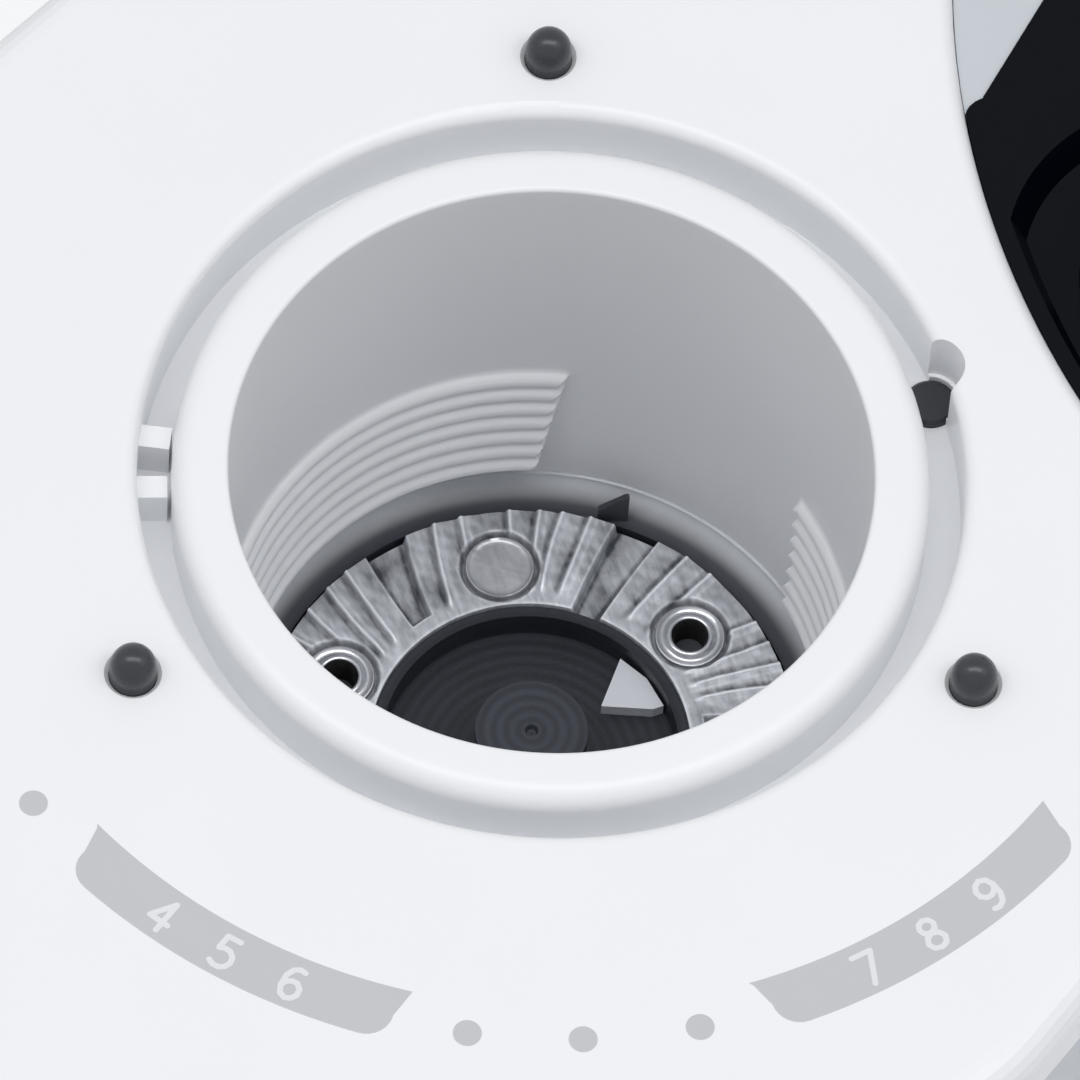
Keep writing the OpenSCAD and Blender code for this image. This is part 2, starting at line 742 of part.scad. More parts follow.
module lower_burr() {
    color("silver") translate([0, 0, carrier_z]) burr(pocket_angle);
}

module burr_carrier() {
    color("black") {
        difference() {
            union() {
                translate([0, 0, carrier_z - 2.4]) cylinder(r = burr_r, h = 2.4, $fn = 96);
                translate([0, 0, pan_z + 1]) cylinder(r = 7, h = carrier_z - pan_z, $fn = 48);
                // Centre hub with its stepped cap
                translate([0, 0, carrier_z - 1]) cylinder(r = 4.9, h = face_z + 3 - carrier_z, $fn = 48);
                // Vanes that sweep the grounds to the outlet
                for (k = [0:2]) rotate(rivet_angle + 30 + 120 * k) {
                    translate([6, -0.8, pan_z + 0.6]) cube([burr_r - 6.6, 1.6, carrier_z - 2.2 - pan_z]);
                }
            }
            translate([0, 0, pan_z - 1]) cylinder(r = spindle_r - 0.4, h = face_z + 0.6 - pan_z, $fn = 36);
            translate([0, 0, pan_z]) cylinder(r = spindle_r + eps, h = 6, $fn = 36);
            for (s = [0:burr_sectors - 1]) rotate(rivet_angle + 60 * s) {
                translate([rivet_circle_r, 0, carrier_z - 5]) cylinder(r = 1.9, h = 6, $fn = 24);
            }
            translate([0, 0, face_z + 1.5]) rotate_extrude($fn = 36) {
                polygon([[0, 0], [0.4, 0], [1.2, 2], [0, 2]]);
            }
        }
        // Lip that centres the burr
        difference() {
            translate([0, 0, carrier_z - 1]) cylinder(r = burr_bore_r - run_gap, h = burr_t + 1, $fn = 72);
            translate([0, 0, carrier_z]) cylinder(r = burr_bore_r - 1, h = 10, $fn = 72);
            translate([0, 0, carrier_z - 2]) cylinder(r = burr_bore_r - 3, h = 2.5, $fn = 72);
        }
    }
}

module burr_rivets() {
    color("silver") for (s = [0, 2, 4]) rotate(rivet_angle + 60 * s) translate([rivet_circle_r, 0, 0]) {
        translate([0, 0, carrier_z + burr_t - 0.6]) cylinder(r = rivet_r, h = 1, $fn = 48);
        translate([0, 0, carrier_z - 3.4]) cylinder(r = 1.8, h = burr_t + 3.4, $fn = 24);
        translate([0, 0, carrier_z - 3.4]) cylinder(r = 2.6, h = 1, $fn = 24);
    }
}

module burr_eyelets() {
    color("gainsboro") for (s = [1, 3, 5]) rotate(rivet_angle + 60 * s) translate([rivet_circle_r, 0, 0]) {
        difference() {
            union() {
                translate([0, 0, carrier_z + burr_t - 0.6]) rotate_extrude($fn = 48) {
                    polygon([[1, 0], [rivet_r, 0], [rivet_r, 0.5], [rivet_r - 0.8, 1.1],
                        [1.9, 1.1], [1, 0.6]]);
                }
                translate([0, 0, carrier_z - 3.4]) cylinder(r = 1.8, h = burr_t + 3.4, $fn = 24);
                translate([0, 0, carrier_z - 3.4]) cylinder(r = 2.6, h = 1, $fn = 24);
            }
            translate([0, 0, carrier_z - 6]) cylinder(r = 1.3, h = 20, $fn = 24);
        }
    }
}

module bean_paddle() {
    color("whitesmoke") translate([0, 0, carrier_z + 0.05]) linear_extrude(1.4) {
        polygon([for (p = [[12.6, -61.3], [8, -73.6], [11.8, -88.3], [12.8, -88.5], [12.9, -75]])
            p[0] * [cos(p[1]), sin(p[1])]]);
    }
}

module spindle() {
    color("silver") {
        translate([0, 0, gear_z - 1]) cylinder(r = spindle_r, h = pan_z + 6 - gear_z + 1, $fn = 48);
        translate([0, 0, pan_z + 6 - eps]) {
            cylinder(r = spindle_r - 0.4, h = face_z - 0.5 - pan_z - 6, $fn = 36);
        }
    }
}

module spindle_bearings() {
    color("silver") for (z = [tube_z, pan_z - bearing_h]) translate([0, 0, z]) difference() {
        cylinder(r = bearing_r, h = bearing_h, $fn = 48);
        translate([0, 0, -1]) cylinder(r = spindle_r + 0.03, h = bearing_h + 2, $fn = 48);
    }
}

// ------------------------------------------------------------------ drive

centre_distance = gear_m * (gear_teeth + pinion_teeth) / 2;

// Point of an involute that starts at radius rb, at the radius r
function involute(rb, r) = let (t = sqrt(max(0, r * r / (rb * rb) - 1)), a = t * 180 / PI - atan(t)) [r, a];

// Outline of a spur gear, its teeth thinned for backlash
module spur_plan(teeth, m, backlash = 0.3) {
    rp = m * teeth / 2;
    rb = rp * cos(20);
    ra = rp + m * 0.92;
    rf = rp - m * 1.2;
    half = 90 / teeth - backlash / rp * 90 / PI + involute(rb, rp)[1];
    radii = [for (i = [0:4]) max(rb, rf) + (ra - max(rb, rf)) * i / 4];
    flank = [for (r = radii) involute(rb, r)];
    polygon([for (k = [0:teeth - 1]) let (c = 360 * k / teeth) each concat(
        [[rf * cos(c - half - 0.3), rf * sin(c - half - 0.3)]],
        [for (f = flank) [f[0] * cos(c - half + f[1]), f[0] * sin(c - half + f[1])]],
        [for (i = [4:-1:0]) let (b = c + half - flank[i][1]) flank[i][0] * [cos(b), sin(b)]],
        [[rf * cos(c + half + 0.3), rf * sin(c + half + 0.3)]])]);
}

module drive_gear() {
    color("ivory") translate([0, 0, gear_z]) difference() {
        rotate(90) linear_extrude(gear_t) spur_plan(gear_teeth, gear_m);
        translate([0, 0, -1]) cylinder(r = spindle_r + eps, h = gear_t + 2, $fn = 48);
        // Recess and holes that lighten the web
        translate([0, 0, 5]) difference() {
            cylinder(r = gear_m * gear_teeth / 2 - 4, h = gear_t, $fn = 72);
            translate([0, 0, -1]) cylinder(r = 6, h = gear_t + 2, $fn = 36);
        }
        for (a = [0:60:300]) rotate(a) translate([14, 0, -1]) cylinder(r = 4, h = gear_t + 2, $fn = 36);
    }
}

module motor_pinion() {
    color("goldenrod") translate([0, centre_distance, 0]) {
        difference() {
            translate([0, 0, gear_z - 1]) rotate(-90 + 180 / pinion_teeth) {
                linear_extrude(gear_t + 1.5) spur_plan(pinion_teeth, gear_m);
            }
            translate([0, 0, gear_z - 2]) cylinder(r = shaft_r + eps, h = gear_t + 4, $fn = 36);
        }
    }
    color("silver") translate([0, centre_distance, plate_z - 12]) {
        cylinder(r = shaft_r, h = gear_top + 1.5 - plate_z + 12, $fn = 36);
    }
}

module motor() {
    color("gray") translate([0, centre_distance, motor_z]) difference() {
        union() {
            rotate_extrude($fn = 72) polygon([[0, 2], [8, 0], [motor_r - 3, 0], [motor_r, 3],
                [motor_r, motor_h - 3], [motor_r - 3, motor_h], [0, motor_h]]);
            translate([0, 0, -4]) cylinder(r = 7, h = 8, $fn = 36);
        }
        translate([0, 0, motor_h - 13]) cylinder(r = shaft_r + run_gap, h = 20, $fn = 36);
        for (a = [0:45:315]) rotate(a) translate([motor_r - 8, -3, -1]) cube([5, 6, 6]);
        for (a = [45, 135, 225, 315]) rotate(a) translate([motor_r - 8, 0, motor_h - 7]) {
            cylinder(r = 1.5, h = 10, $fn = 24);
        }
    }
}

module motor_plate() {
    color("silver") difference() {
        union() {
            hull() for (p = motor_posts) translate([p[0], p[1], plate_z]) cylinder(r = 5, h = 3, $fn = 32);
            for (p = motor_posts) translate([p[0], p[1], plate_z]) {
                cylinder(r = 4, h = pan_z - 2 - plate_z, $fn = 32);
            }
        }
        translate([0, centre_distance, plate_z - 1]) cylinder(r = shaft_r + 2, h = 6, $fn = 36);
        for (a = [45, 135, 225, 315]) translate([0, centre_distance, plate_z - 1]) rotate(a) {
            translate([motor_r - 8, 0, 0]) cylinder(r = 1.7, h = 6, $fn = 24);
        }
        for (p = motor_posts) translate([p[0], p[1], pan_z - 12]) cylinder(r = 1.5, h = 12, $fn = 24);
    }
}

module motor_screws() {
    color("silver") translate([0, centre_distance, plate_z]) for (a = [45, 135, 225, 315]) rotate(a) {
        translate([motor_r - 8, 0, -6]) cylinder(r = 1.4, h = 10, $fn = 24);
        translate([motor_r - 8, 0, 3]) cylinder(r = 2.8, h = 1.8, $fn = 24);
    }
}

module frame_screws() {
    color("silver") for (p = motor_posts) translate([p[0], p[1], pan_z]) {
        translate([0, 0, 2]) cylinder(r = 2.8, h = 1.8, $fn = 24);
        translate([0, 0, -9]) cylinder(r = 1.4, h = 12, $fn = 24);
    }
}

module deck_screws() {
    color("silver") for (p = screw_posts) translate([p[0], p[1], pan_z - 4]) {
        cylinder(r = 3, h = 2, $fn = 24);
        translate([0, 0, 1]) cylinder(r = 1.6, h = 5, $fn = 24);
    }
}

// ------------------------------------------------------------------ pins

module detent_pin(k) {
    color("dimgray") polar(pin_circle_r, pin_angles[k]) {
        translate([0, 0, deck_z - deck_t - 2]) cylinder(r = pin_flange_r, h = 1.95, $fn = 36);
        rotate_extrude($fn = 48) {
            translate([0, deck_z - deck_t - 2]) square([pin_r, deck_t + pin_rise + 2 - 2.4]);
            intersection() {
                translate([0, deck_z + pin_rise - 2.5]) scale([1, 1.25]) circle(r = pin_r, $fn = 48);
                translate([0, deck_z]) square([10, 20]);
            }
        }
    }
}

module detent_spring(k) {
    color("silver") polar(pin_circle_r, pin_angles[k]) {
        translate([0, 0, boss_z + 0.4]) coil(2.5, 0.35, deck_z - deck_t - 2.8 - boss_z, 6);
    }
}

module spring_caps() {
    color("gray") for (a = pin_angles) polar(pin_circle_r, a) {
        translate([0, 0, boss_z - 1.6]) cylinder(r = 4.8, h = 1.6, $fn = 36);
    }
}

module interlock_plunger() {
    color("dimgray") {
        polar(plunger_circle_r, plunger_angle) {
            translate([0, 0, plunger_z]) {
                cylinder(r = plunger_r, h = plunger_top - plunger_z - 0.3, $fn = 48);
            }
            translate([0, 0, plunger_top - 0.3 - eps]) {
                cylinder(r1 = plunger_r, r2 = plunger_r - 0.3, h = 0.3 + eps, $fn = 48);
            }
        }
        // Tab that stops it under the moat and presses the switch
        rotate(plunger_angle) translate([plunger_circle_r, -1.5, plunger_z]) {
            cube([3.4, 3, moat_z - moat_floor_t - 0.1 - plunger_z]);
        }
    }
}

module interlock_switch() {
    color("black") rotate(plunger_angle) difference() {
        translate([bracket_r - 7, -8, switch_z]) cube([7, 16, 10]);
        for (y = [-5, 5]) translate([bracket_r - 8, y, switch_z + 5]) rotate([0, 90, 0]) {
            cylinder(r = 1, h = 12, $fn = 24);
        }
    }
}

module cord_gland() {
    color("black") translate([0, body_rear - shell_draft - 1.45, 18]) rotate([-90, 0, 0]) difference() {
        union() {
            translate([0, 0, -4]) cylinder(r = 5, h = 9, $fn = 36);
            translate([0, 0, 2]) cylinder(r = 7, h = 2.5, $fn = 36);
        }
        translate([0, 0, -5]) cylinder(r = 3.5, h = 12, $fn = 36);
    }
}

top_deck();
burr_collar();
body_shell();
base_plate();
rubber_feet();
base_screws();
head_cover();
head_floor();
bay_liner();
control_panel();
timer_dial();
start_button();
start_switch();
timer_board();
grounds_jar();
jar_lid();
grind_housing();
grind_chute();
chamber_ring();
lower_burr();
burr_carrier();
burr_rivets();
burr_eyelets();
bean_paddle();
spindle();
spindle_bearings();
drive_gear();
motor();
motor_plate();
motor_pinion();
motor_screws();
frame_screws();
deck_screws();
detent_pin(0);  // detent_pin_rear
detent_pin(1);  // detent_pin_left
detent_pin(2);  // detent_pin_right
detent_spring(0);  // detent_spring_rear
detent_spring(1);  // detent_spring_left
detent_spring(2);  // detent_spring_right
spring_caps();
interlock_plunger();
interlock_switch();
cord_gland();
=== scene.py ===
"""Looks, light and camera for a compact burr grinder, seen from above into its open collar.

Lengths are millimetres in the part's own frame, and MM turns them into Blender's metres. Angles are degrees.
"""
import math

import bmesh
import bpy
import numpy as np
from mathutils import Matrix, Vector


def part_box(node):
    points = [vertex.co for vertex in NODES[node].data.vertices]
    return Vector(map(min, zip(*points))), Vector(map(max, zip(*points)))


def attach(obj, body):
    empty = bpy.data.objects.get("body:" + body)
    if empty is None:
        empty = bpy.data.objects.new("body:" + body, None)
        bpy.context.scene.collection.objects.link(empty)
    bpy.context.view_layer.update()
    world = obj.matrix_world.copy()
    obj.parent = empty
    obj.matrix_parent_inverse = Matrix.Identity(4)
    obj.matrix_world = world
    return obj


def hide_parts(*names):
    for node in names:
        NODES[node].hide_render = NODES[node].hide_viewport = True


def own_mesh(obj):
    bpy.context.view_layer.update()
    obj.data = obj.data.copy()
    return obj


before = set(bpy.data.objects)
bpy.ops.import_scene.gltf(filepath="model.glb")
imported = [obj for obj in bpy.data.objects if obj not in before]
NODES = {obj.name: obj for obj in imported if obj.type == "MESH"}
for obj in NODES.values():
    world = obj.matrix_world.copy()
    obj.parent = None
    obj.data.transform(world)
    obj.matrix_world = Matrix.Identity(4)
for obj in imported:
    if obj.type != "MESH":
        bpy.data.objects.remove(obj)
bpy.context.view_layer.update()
MM = 0.001

# Levels of the model: the deck's top, the sleeve's foot, and the top of the burr's ridges
DECK_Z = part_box("burr_collar")[1].z / MM
SLEEVE_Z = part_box("burr_collar")[0].z / MM
FACE_Z = DECK_Z - 48.0


# ---------------------------------------------------------------- camera

FRAME_PX = 1080                # width and height of the picture
FOCAL_PX = 13993               # focal length in the same pixels
SENSOR_MM = 36
CAMERA_DISTANCE = 1177 * MM
CAMERA_ELEVATION = math.radians(60.396)
CAMERA_AZIMUTH = math.radians(154.0)
CAMERA_ROLL = math.radians(4.367)
CENTRE_PX = (11.86, -72.55)    # the collar's centre in the picture, away from its middle


def make_camera():
    """A long lens that looks down into the collar from the rear left, away from the dial."""
    turn = Matrix.Rotation(CAMERA_AZIMUTH + math.radians(90), 3, "Z")
    sin_e, cos_e = math.sin(CAMERA_ELEVATION), math.cos(CAMERA_ELEVATION)
    right = turn @ Vector((1, 0, 0))
    up = turn @ Vector((0, sin_e, cos_e))
    forward = turn @ Vector((0, cos_e, -sin_e))
    sin_r, cos_r = math.sin(CAMERA_ROLL), math.cos(CAMERA_ROLL)
    picture_right = cos_r * right + sin_r * up
    picture_up = cos_r * up - sin_r * right
    per_px = CAMERA_DISTANCE / FOCAL_PX
    target = Vector((0, 0, DECK_Z * MM))
    place = (target - forward * CAMERA_DISTANCE
             - picture_right * CENTRE_PX[0] * per_px + picture_up * CENTRE_PX[1] * per_px)
    data = bpy.data.cameras.new("camera")
    data.sensor_width = SENSOR_MM
    data.lens = FOCAL_PX / FRAME_PX * SENSOR_MM
    data.clip_start = 0.05
    data.clip_end = 20
    camera = bpy.data.objects.new("camera", data)
    axes = Matrix((picture_right, picture_up, -forward)).transposed()
    camera.matrix_world = Matrix.Translation(place) @ axes.to_4x4()
    bpy.context.scene.collection.objects.link(camera)
    bpy.context.scene.camera = camera


make_camera()


# ---------------------------------------------------------------- shader nodes

def add_node(tree, kind, fields=None, values=None, links=None):
    """A shader node of a kind: its own fields, its inputs' constant values, and the sockets linked to them."""
    made = tree.nodes.new("ShaderNode" + kind)
    for name, value in (fields or {}).items():
        setattr(made, name, value)
    for name, value in (values or {}).items():
        made.inputs[name].default_value = value
    for name, source in (links or {}).items():
        tree.links.new(source, made.inputs[name])
    return made


def new_material(name):
    """A material with its tree and its shader."""
    material = bpy.data.materials.new(name)
    material.use_nodes = True
    return material, material.node_tree, material.node_tree.nodes["Principled BSDF"]


def object_place(tree):
    """The socket that gives a place on the object."""
    return add_node(tree, "TexCoord").outputs["Object"]


def noise(tree, place, size, detail=2.0, roughness=0.5):
    """Noise with features of about this size in millimetres."""
    values = {"Scale": 1 / (size * MM), "Detail": detail, "Roughness": roughness}
    return add_node(tree, "TexNoise", values=values, links={"Vector": place}).outputs["Fac"]


def remap(tree, value, low, high, start=0.0, end=1.0, kind="LINEAR"):
    """The stretch of a value from start to end, moved to the range from low to high."""
    values = {"From Min": start, "From Max": end, "To Min": low, "To Max": high}
    return add_node(tree, "MapRange", {"interpolation_type": kind}, values, {"Value": value}).outputs["Result"]


def mix_colours(tree, share, first, second):
    """From the first colour, where the share is 0, to the second, where it is 1."""
    values = {"A": (*first, 1), "B": (*second, 1)}
    return add_node(tree, "Mix", {"data_type": "RGBA"}, values, {"Factor": share}).outputs["Result"]


def scale_colour(tree, colour, factor):
    """A colour socket times a factor."""
    return add_node(tree, "VectorMath", {"operation": "SCALE"}, links={0: colour, "Scale": factor}).outputs["Vector"]


def join_values(tree, operation, first, second, factor=None, clamp=False):
    """Two sockets joined by a sum or maximum, or the first times a factor plus the second."""
    fields = {"operation": operation, "use_clamp": clamp}
    if factor is None:
        return add_node(tree, "Math", fields, links={0: first, 1: second}).outputs["Value"]
    return add_node(tree, "Math", fields, {1: factor}, {0: first, 2: second}).outputs["Value"]


def add_bump(tree, shader, height, strength, distance):
    """Bump on the shader from a height socket, with its distance in millimetres."""
    bump = add_node(tree, "Bump", values={"Strength": strength, "Distance": distance * MM}, links={"Height": height})
    tree.links.new(bump.outputs["Normal"], shader.inputs["Normal"])


# ---------------------------------------------------------------- materials

GRAIN_DEPTH = 0.03             # of a moulded surface
WORN_DEPTH = 0.05              # of turned and cast surfaces
DRIFT_SIZE = 14                # of the slow change of tone


def moulded(name, colour, roughness, grain=0.15, grain_size=0.4, mottle=0.03, metallic=0.0,
            transmission=0.0, specular=0.5):
    """Moulded plastic or plain metal: a fine grain in the bump, and a slight drift of tone and gloss."""
    material, tree, shader = new_material(name)
    place = object_place(tree)
    fine = noise(tree, place, grain_size, detail=3)
    add_bump(tree, shader, fine, grain, GRAIN_DEPTH)
    tone = remap(tree, noise(tree, place, DRIFT_SIZE), 1 - mottle, 1 + mottle)
    scaled = add_node(tree, "VectorMath", {"operation": "SCALE"}, {0: colour}, {"Scale": tone})
    tree.links.new(scaled.outputs["Vector"], shader.inputs["Base Color"])
    gloss = remap(tree, fine, max(0.02, roughness * 0.9), min(1, roughness * 1.12))
    tree.links.new(gloss, shader.inputs["Roughness"])
    shader.inputs["Metallic"].default_value = metallic
    shader.inputs["Transmission Weight"].default_value = transmission
    shader.inputs["Specular IOR Level"].default_value = specular
    return material


def radial_painted_shade(name, low, high, r_low, r_high, ring_size=0.5, ring_height=0.0, ring_tint=0.0, grain=0.2):
    """A moulded surface with painted shade that changes with the distance from the axis, with turning marks round
    it.
    """
    material, tree, shader = new_material(name)
    place = object_place(tree)
    flat = add_node(tree, "VectorMath", {"operation": "MULTIPLY"}, {1: (1, 1, 0)}, {0: place})
    reach = add_node(tree, "VectorMath", {"operation": "LENGTH"}, links={0: flat.outputs["Vector"]})
    share = remap(tree, reach.outputs["Value"], 0.0, 1.0, r_low * MM, r_high * MM, "SMOOTHSTEP")
    shade = remap(tree, noise(tree, place, 6, detail=5), 0.86, 1.12)
    rings = add_node(tree, "TexWave", {"wave_type": "RINGS", "rings_direction": "Z"},
                     {"Scale": math.pi / (10 * ring_size * MM), "Distortion": 0.4, "Detail": 1}, {"Vector": place})
    band = remap(tree, rings.outputs["Fac"], 1 - ring_tint, 1 + ring_tint)
    shaded = scale_colour(tree, mix_colours(tree, share, low, high), shade)
    tree.links.new(scale_colour(tree, shaded, band), shader.inputs["Base Color"])
    fine = noise(tree, place, 0.35)
    height = join_values(tree, "MULTIPLY_ADD", rings.outputs["Fac"], fine, factor=ring_height)
    add_bump(tree, shader, height, grain, WORN_DEPTH)
    shader.inputs["Roughness"].default_value = 0.40
    shader.inputs["Specular IOR Level"].default_value = 0.35
    return material


def cast_metal(name, dark, pale, roughness, metallic, with_wear_and_light=False):
    """Die-cast metal: blotchy grey with scratches, paler where the mesh's attribute of wear and painted light is
    high, and darker where its painted shade makes it low.
    """
    material, tree, shader = new_material(name)
    place = object_place(tree)
    blotch = noise(tree, place, 3.2, detail=6, roughness=0.62)
    stretch = add_node(tree, "Mapping", values={"Rotation": (0, 0, math.radians(64)), "Scale": (0.5, 2.2, 1)},
                       links={"Vector": place})
    scratch = noise(tree, stretch.outputs["Vector"], 1.1, detail=4)
    spread = remap(tree, blotch, 0.24, 0.56, 0.32, 0.68)
    scored = remap(tree, scratch, -0.06, 0.10, 0.38, 0.62)
    share = join_values(tree, "ADD", spread, scored)
    if with_wear_and_light:
        wear_and_light = add_node(tree, "Attribute", {"attribute_name": "wear_and_light"})
        share = join_values(tree, "MULTIPLY_ADD", wear_and_light.outputs["Fac"], share, factor=0.62, clamp=True)
    tree.links.new(mix_colours(tree, share, dark, pale), shader.inputs["Base Color"])
    tree.links.new(remap(tree, blotch, roughness * 0.8, roughness * 1.3), shader.inputs["Roughness"])
    add_bump(tree, shader, noise(tree, place, 0.6, detail=4), 0.45, WORN_DEPTH)
    shader.inputs["Metallic"].default_value = metallic
    return material


WHITE = moulded("white_plastic", (0.915, 0.925, 0.945), 0.38, grain=0.08, grain_size=0.25, mottle=0.010)
SILVER = moulded("silver_lacquer", (0.60, 0.63, 0.67), 0.36, grain=0.12, grain_size=0.3, mottle=0.02)
BLACK = moulded("black_gloss", (0.0014, 0.0024, 0.0052), 0.10, grain=0.015, mottle=0.05, specular=0.09)
DARK = moulded("dark_plastic", (0.045, 0.048, 0.058), 0.5, grain=0.3, mottle=0.1)
PIN = moulded("pin_plastic", (0.022, 0.025, 0.032), 0.28, grain=0.12, mottle=0.12)
PLUNGER = moulded("plunger_plastic", (0.020, 0.023, 0.031), 0.42, grain=0.5, grain_size=0.35, mottle=0.3)
GREY = moulded("grey_plastic", (0.13, 0.14, 0.15), 0.5, grain=0.25, mottle=0.06)
SMOKE = moulded("smoked_clear", (0.15, 0.16, 0.18), 0.06, grain=0.0, grain_size=20, transmission=0.35)
RUBBER = moulded("rubber", (0.02, 0.02, 0.021), 0.8, grain=0.5, mottle=0.1)
STEEL = moulded("bright_steel", (0.62, 0.63, 0.65), 0.26, grain=0.1, metallic=1.0, mottle=0.05)
RIVET = cast_metal("rivet_steel", (0.30, 0.31, 0.33), (0.72, 0.73, 0.76), 0.34, 0.6)
EYELET = moulded("eyelet_steel", (0.60, 0.61, 0.64), 0.22, grain=0.12, grain_size=0.5, metallic=0.9, mottle=0.10)
# Painted shade: near black for the inside of the eyelets' tubes
HOLE_SHADE = moulded("painted_hole_shade", (0.006, 0.006, 0.007), 0.8, grain=0.4, mottle=0.2)
# Painted highlight for the top face of the chamber fin
FIN_TOP_LIGHT = moulded("fin_top_painted_light", (0.42, 0.44, 0.48), 0.45, grain=0.3, mottle=0.15)
WIRE = moulded("spring_wire", (0.48, 0.49, 0.51), 0.32, grain=0.1, metallic=1.0, mottle=0.05)
BRASS = moulded("brass", (0.52, 0.35, 0.10), 0.3, grain=0.1, metallic=1.0)
NYLON = moulded("gear_nylon", (0.70, 0.67, 0.58), 0.45)
BOARD = moulded("board_green", (0.01, 0.09, 0.03), 0.35, grain=0.2)
CAN = moulded("motor_can", (0.25, 0.26, 0.28), 0.35, grain=0.2, metallic=0.9)
# The burr's crests are paler, partly from wear and partly as painted highlight, and its hollows are darker as
# painted shade
CAST = cast_metal("cast_burr", (0.060, 0.066, 0.080), (0.93, 0.95, 1.0), 0.42, 0.22, with_wear_and_light=True)
WING = moulded("wing_plastic", (0.74, 0.76, 0.81), 0.45, grain=0.3, grain_size=0.8, mottle=0.10)
# Painted shade by radius: the chamber ring dark at the burr and pale at the sleeve, the hub paler at its middle and
# darker outwards
CHAMBER_PAINTED_SHADE = radial_painted_shade("chamber_painted_shade", (0.040, 0.044, 0.056), (0.80, 0.82, 0.86), 24.7, 27.2)
HUB_PAINTED_SHADE = radial_painted_shade("hub_painted_shade", (0.040, 0.044, 0.058), (0.022, 0.025, 0.034), 3.5, 6.5, ring_size=1.1,
             ring_height=0.5, ring_tint=0.22, grain=0.4)
PRINT = moulded("grey_print", (0.565, 0.570, 0.59), 0.45, grain=0.03, mottle=0.02)
PRINT_LIGHT = moulded("light_print", (0.80, 0.81, 0.835), 0.42, grain=0.03, mottle=0.01)

# The CAD nodes of each material; those that a finer piece replaces below have one too
FINISHES = {
    WHITE: ["top_deck", "burr_collar"],
    SILVER: ["body_shell", "head_cover", "head_floor"],
    BLACK: ["control_panel", "start_button"],
    PIN: ["detent_pin_rear", "detent_pin_left", "detent_pin_right"],
    PLUNGER: ["interlock_plunger"],
    DARK: ["base_plate", "bay_liner", "timer_dial", "jar_lid", "grind_chute", "spring_caps",
           "interlock_switch", "start_switch"],
    CHAMBER_PAINTED_SHADE: ["chamber_ring"],
    HUB_PAINTED_SHADE: ["burr_carrier"],
    GREY: ["grind_housing"],
    SMOKE: ["grounds_jar"],
    RUBBER: ["rubber_feet", "cord_gland"],
    STEEL: ["base_screws", "burr_eyelets", "spindle", "spindle_bearings", "motor_plate", "motor_screws",
            "frame_screws", "deck_screws"],
    RIVET: ["burr_rivets"],
    WIRE: ["detent_spring_rear", "detent_spring_left", "detent_spring_right"],
    BRASS: ["motor_pinion"],
    NYLON: ["drive_gear"],
    BOARD: ["timer_board"],
    CAN: ["motor"],
    CAST: ["lower_burr"],
    WING: ["bean_paddle"],
}

for finish, names in FINISHES.items():
    for name in names:
        materials = NODES[name].data.materials
        materials.clear()
        materials.append(finish)


# ---------------------------------------------------------------- mesh helpers

def place_object(name, mesh, material=None):
    """An object of a mesh in the scene, with the mesh's first material."""
    if material:
        mesh.materials.append(material)
    placed = bpy.data.objects.new(name, mesh)
    bpy.context.scene.collection.objects.link(placed)
    return placed


def new_piece(name, verts, faces, body, material, slot, replaces=(), smooth=True, sharp=None):
    """A mesh object from millimetre points that rides on a CAD body; edges past the angle sharp are sharp."""
    mesh = bpy.data.meshes.new(name)
    mesh.from_pydata([(x * MM, y * MM, z * MM) for x, y, z in verts], [], faces)
    mesh.update()
    mesh.polygons.foreach_set("use_smooth", [smooth] * len(mesh.polygons))
    piece = place_object(name, mesh, material)
    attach(piece, body)
    if replaces:
        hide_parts(*replaces)
    if sharp:
        mesh.set_sharp_from_angle(angle=math.radians(sharp))
    return piece


def grid_faces(rows, columns, first=0, wrap_rows=True, wrap_columns=True, flip=False):
    """Quads between the neighbours of a grid stored row by row, which may close on itself either way."""
    faces = []
    for k in range(rows if wrap_rows else rows - 1):
        here, there = first + k * columns, first + (k + 1) % rows * columns
        for i in range(columns if wrap_columns else columns - 1):
            j = (i + 1) % columns
            faces.append((here + i, there + i, there + j, here + j) if flip
                         else (here + i, here + j, there + j, there + i))
    return faces


def polar(r, degrees):
    a = math.radians(degrees)
    return r * math.cos(a), r * math.sin(a)


def arc_points(centre, radius, start, end, steps):
    """Points of a profile's round stretch, in degrees, as (r, z) pairs."""
    points = []
    for i in range(steps + 1):
        x, y = polar(radius, start + (end - start) * i / steps)
        points.append((centre[0] + x, centre[1] + y))
    return points


def lathe(name, profile, steps, shape, **extra):
    """Turns a closed profile of (r, z) points round the axis; shape(r, degrees, z, i) may move each point."""
    verts = []
    for k in range(steps):
        a = 360 * k / steps
        for i, (r, z) in enumerate(profile):
            r, z = shape(r, a, z, i)
            verts.append((*polar(r, a), z))
    return new_piece(name, verts, grid_faces(steps, len(profile), flip=True), **extra)


def smooth_step(edge0, edge1, x):
    """From 0 at the first edge to 1 at the second, without a kink."""
    t = min(1.0, max(0.0, (x - edge0) / (edge1 - edge0)))
    return t * t * (3 - 2 * t)


def smooth_steps(edge0, edge1, x):
    """smooth_step for an array."""
    t = np.clip((x - edge0) / (edge1 - edge0), 0, 1)
    return t * t * (3 - 2 * t)


def soft_line(x, middle, width):
    """1 on a line at the middle, fading to 0 at either side."""
    return np.exp(-((x - middle) / width) ** 2)


def angle_between(a, b):
    """Signed difference of two directions, numbers or arrays, from -180 to 180."""
    return (a - b + 180) % 360 - 180


def waves(x, y, seed):
    """Small repeatable unevenness, from -1.5 to 1.5, of numbers or arrays."""
    return (np.sin(x * 1.7 + seed) * np.cos(y * 2.3 - seed * 1.3)
            + 0.5 * np.sin(x * 4.1 - y * 3.3 + seed * 2.1))


# ---------------------------------------------------------------- burr

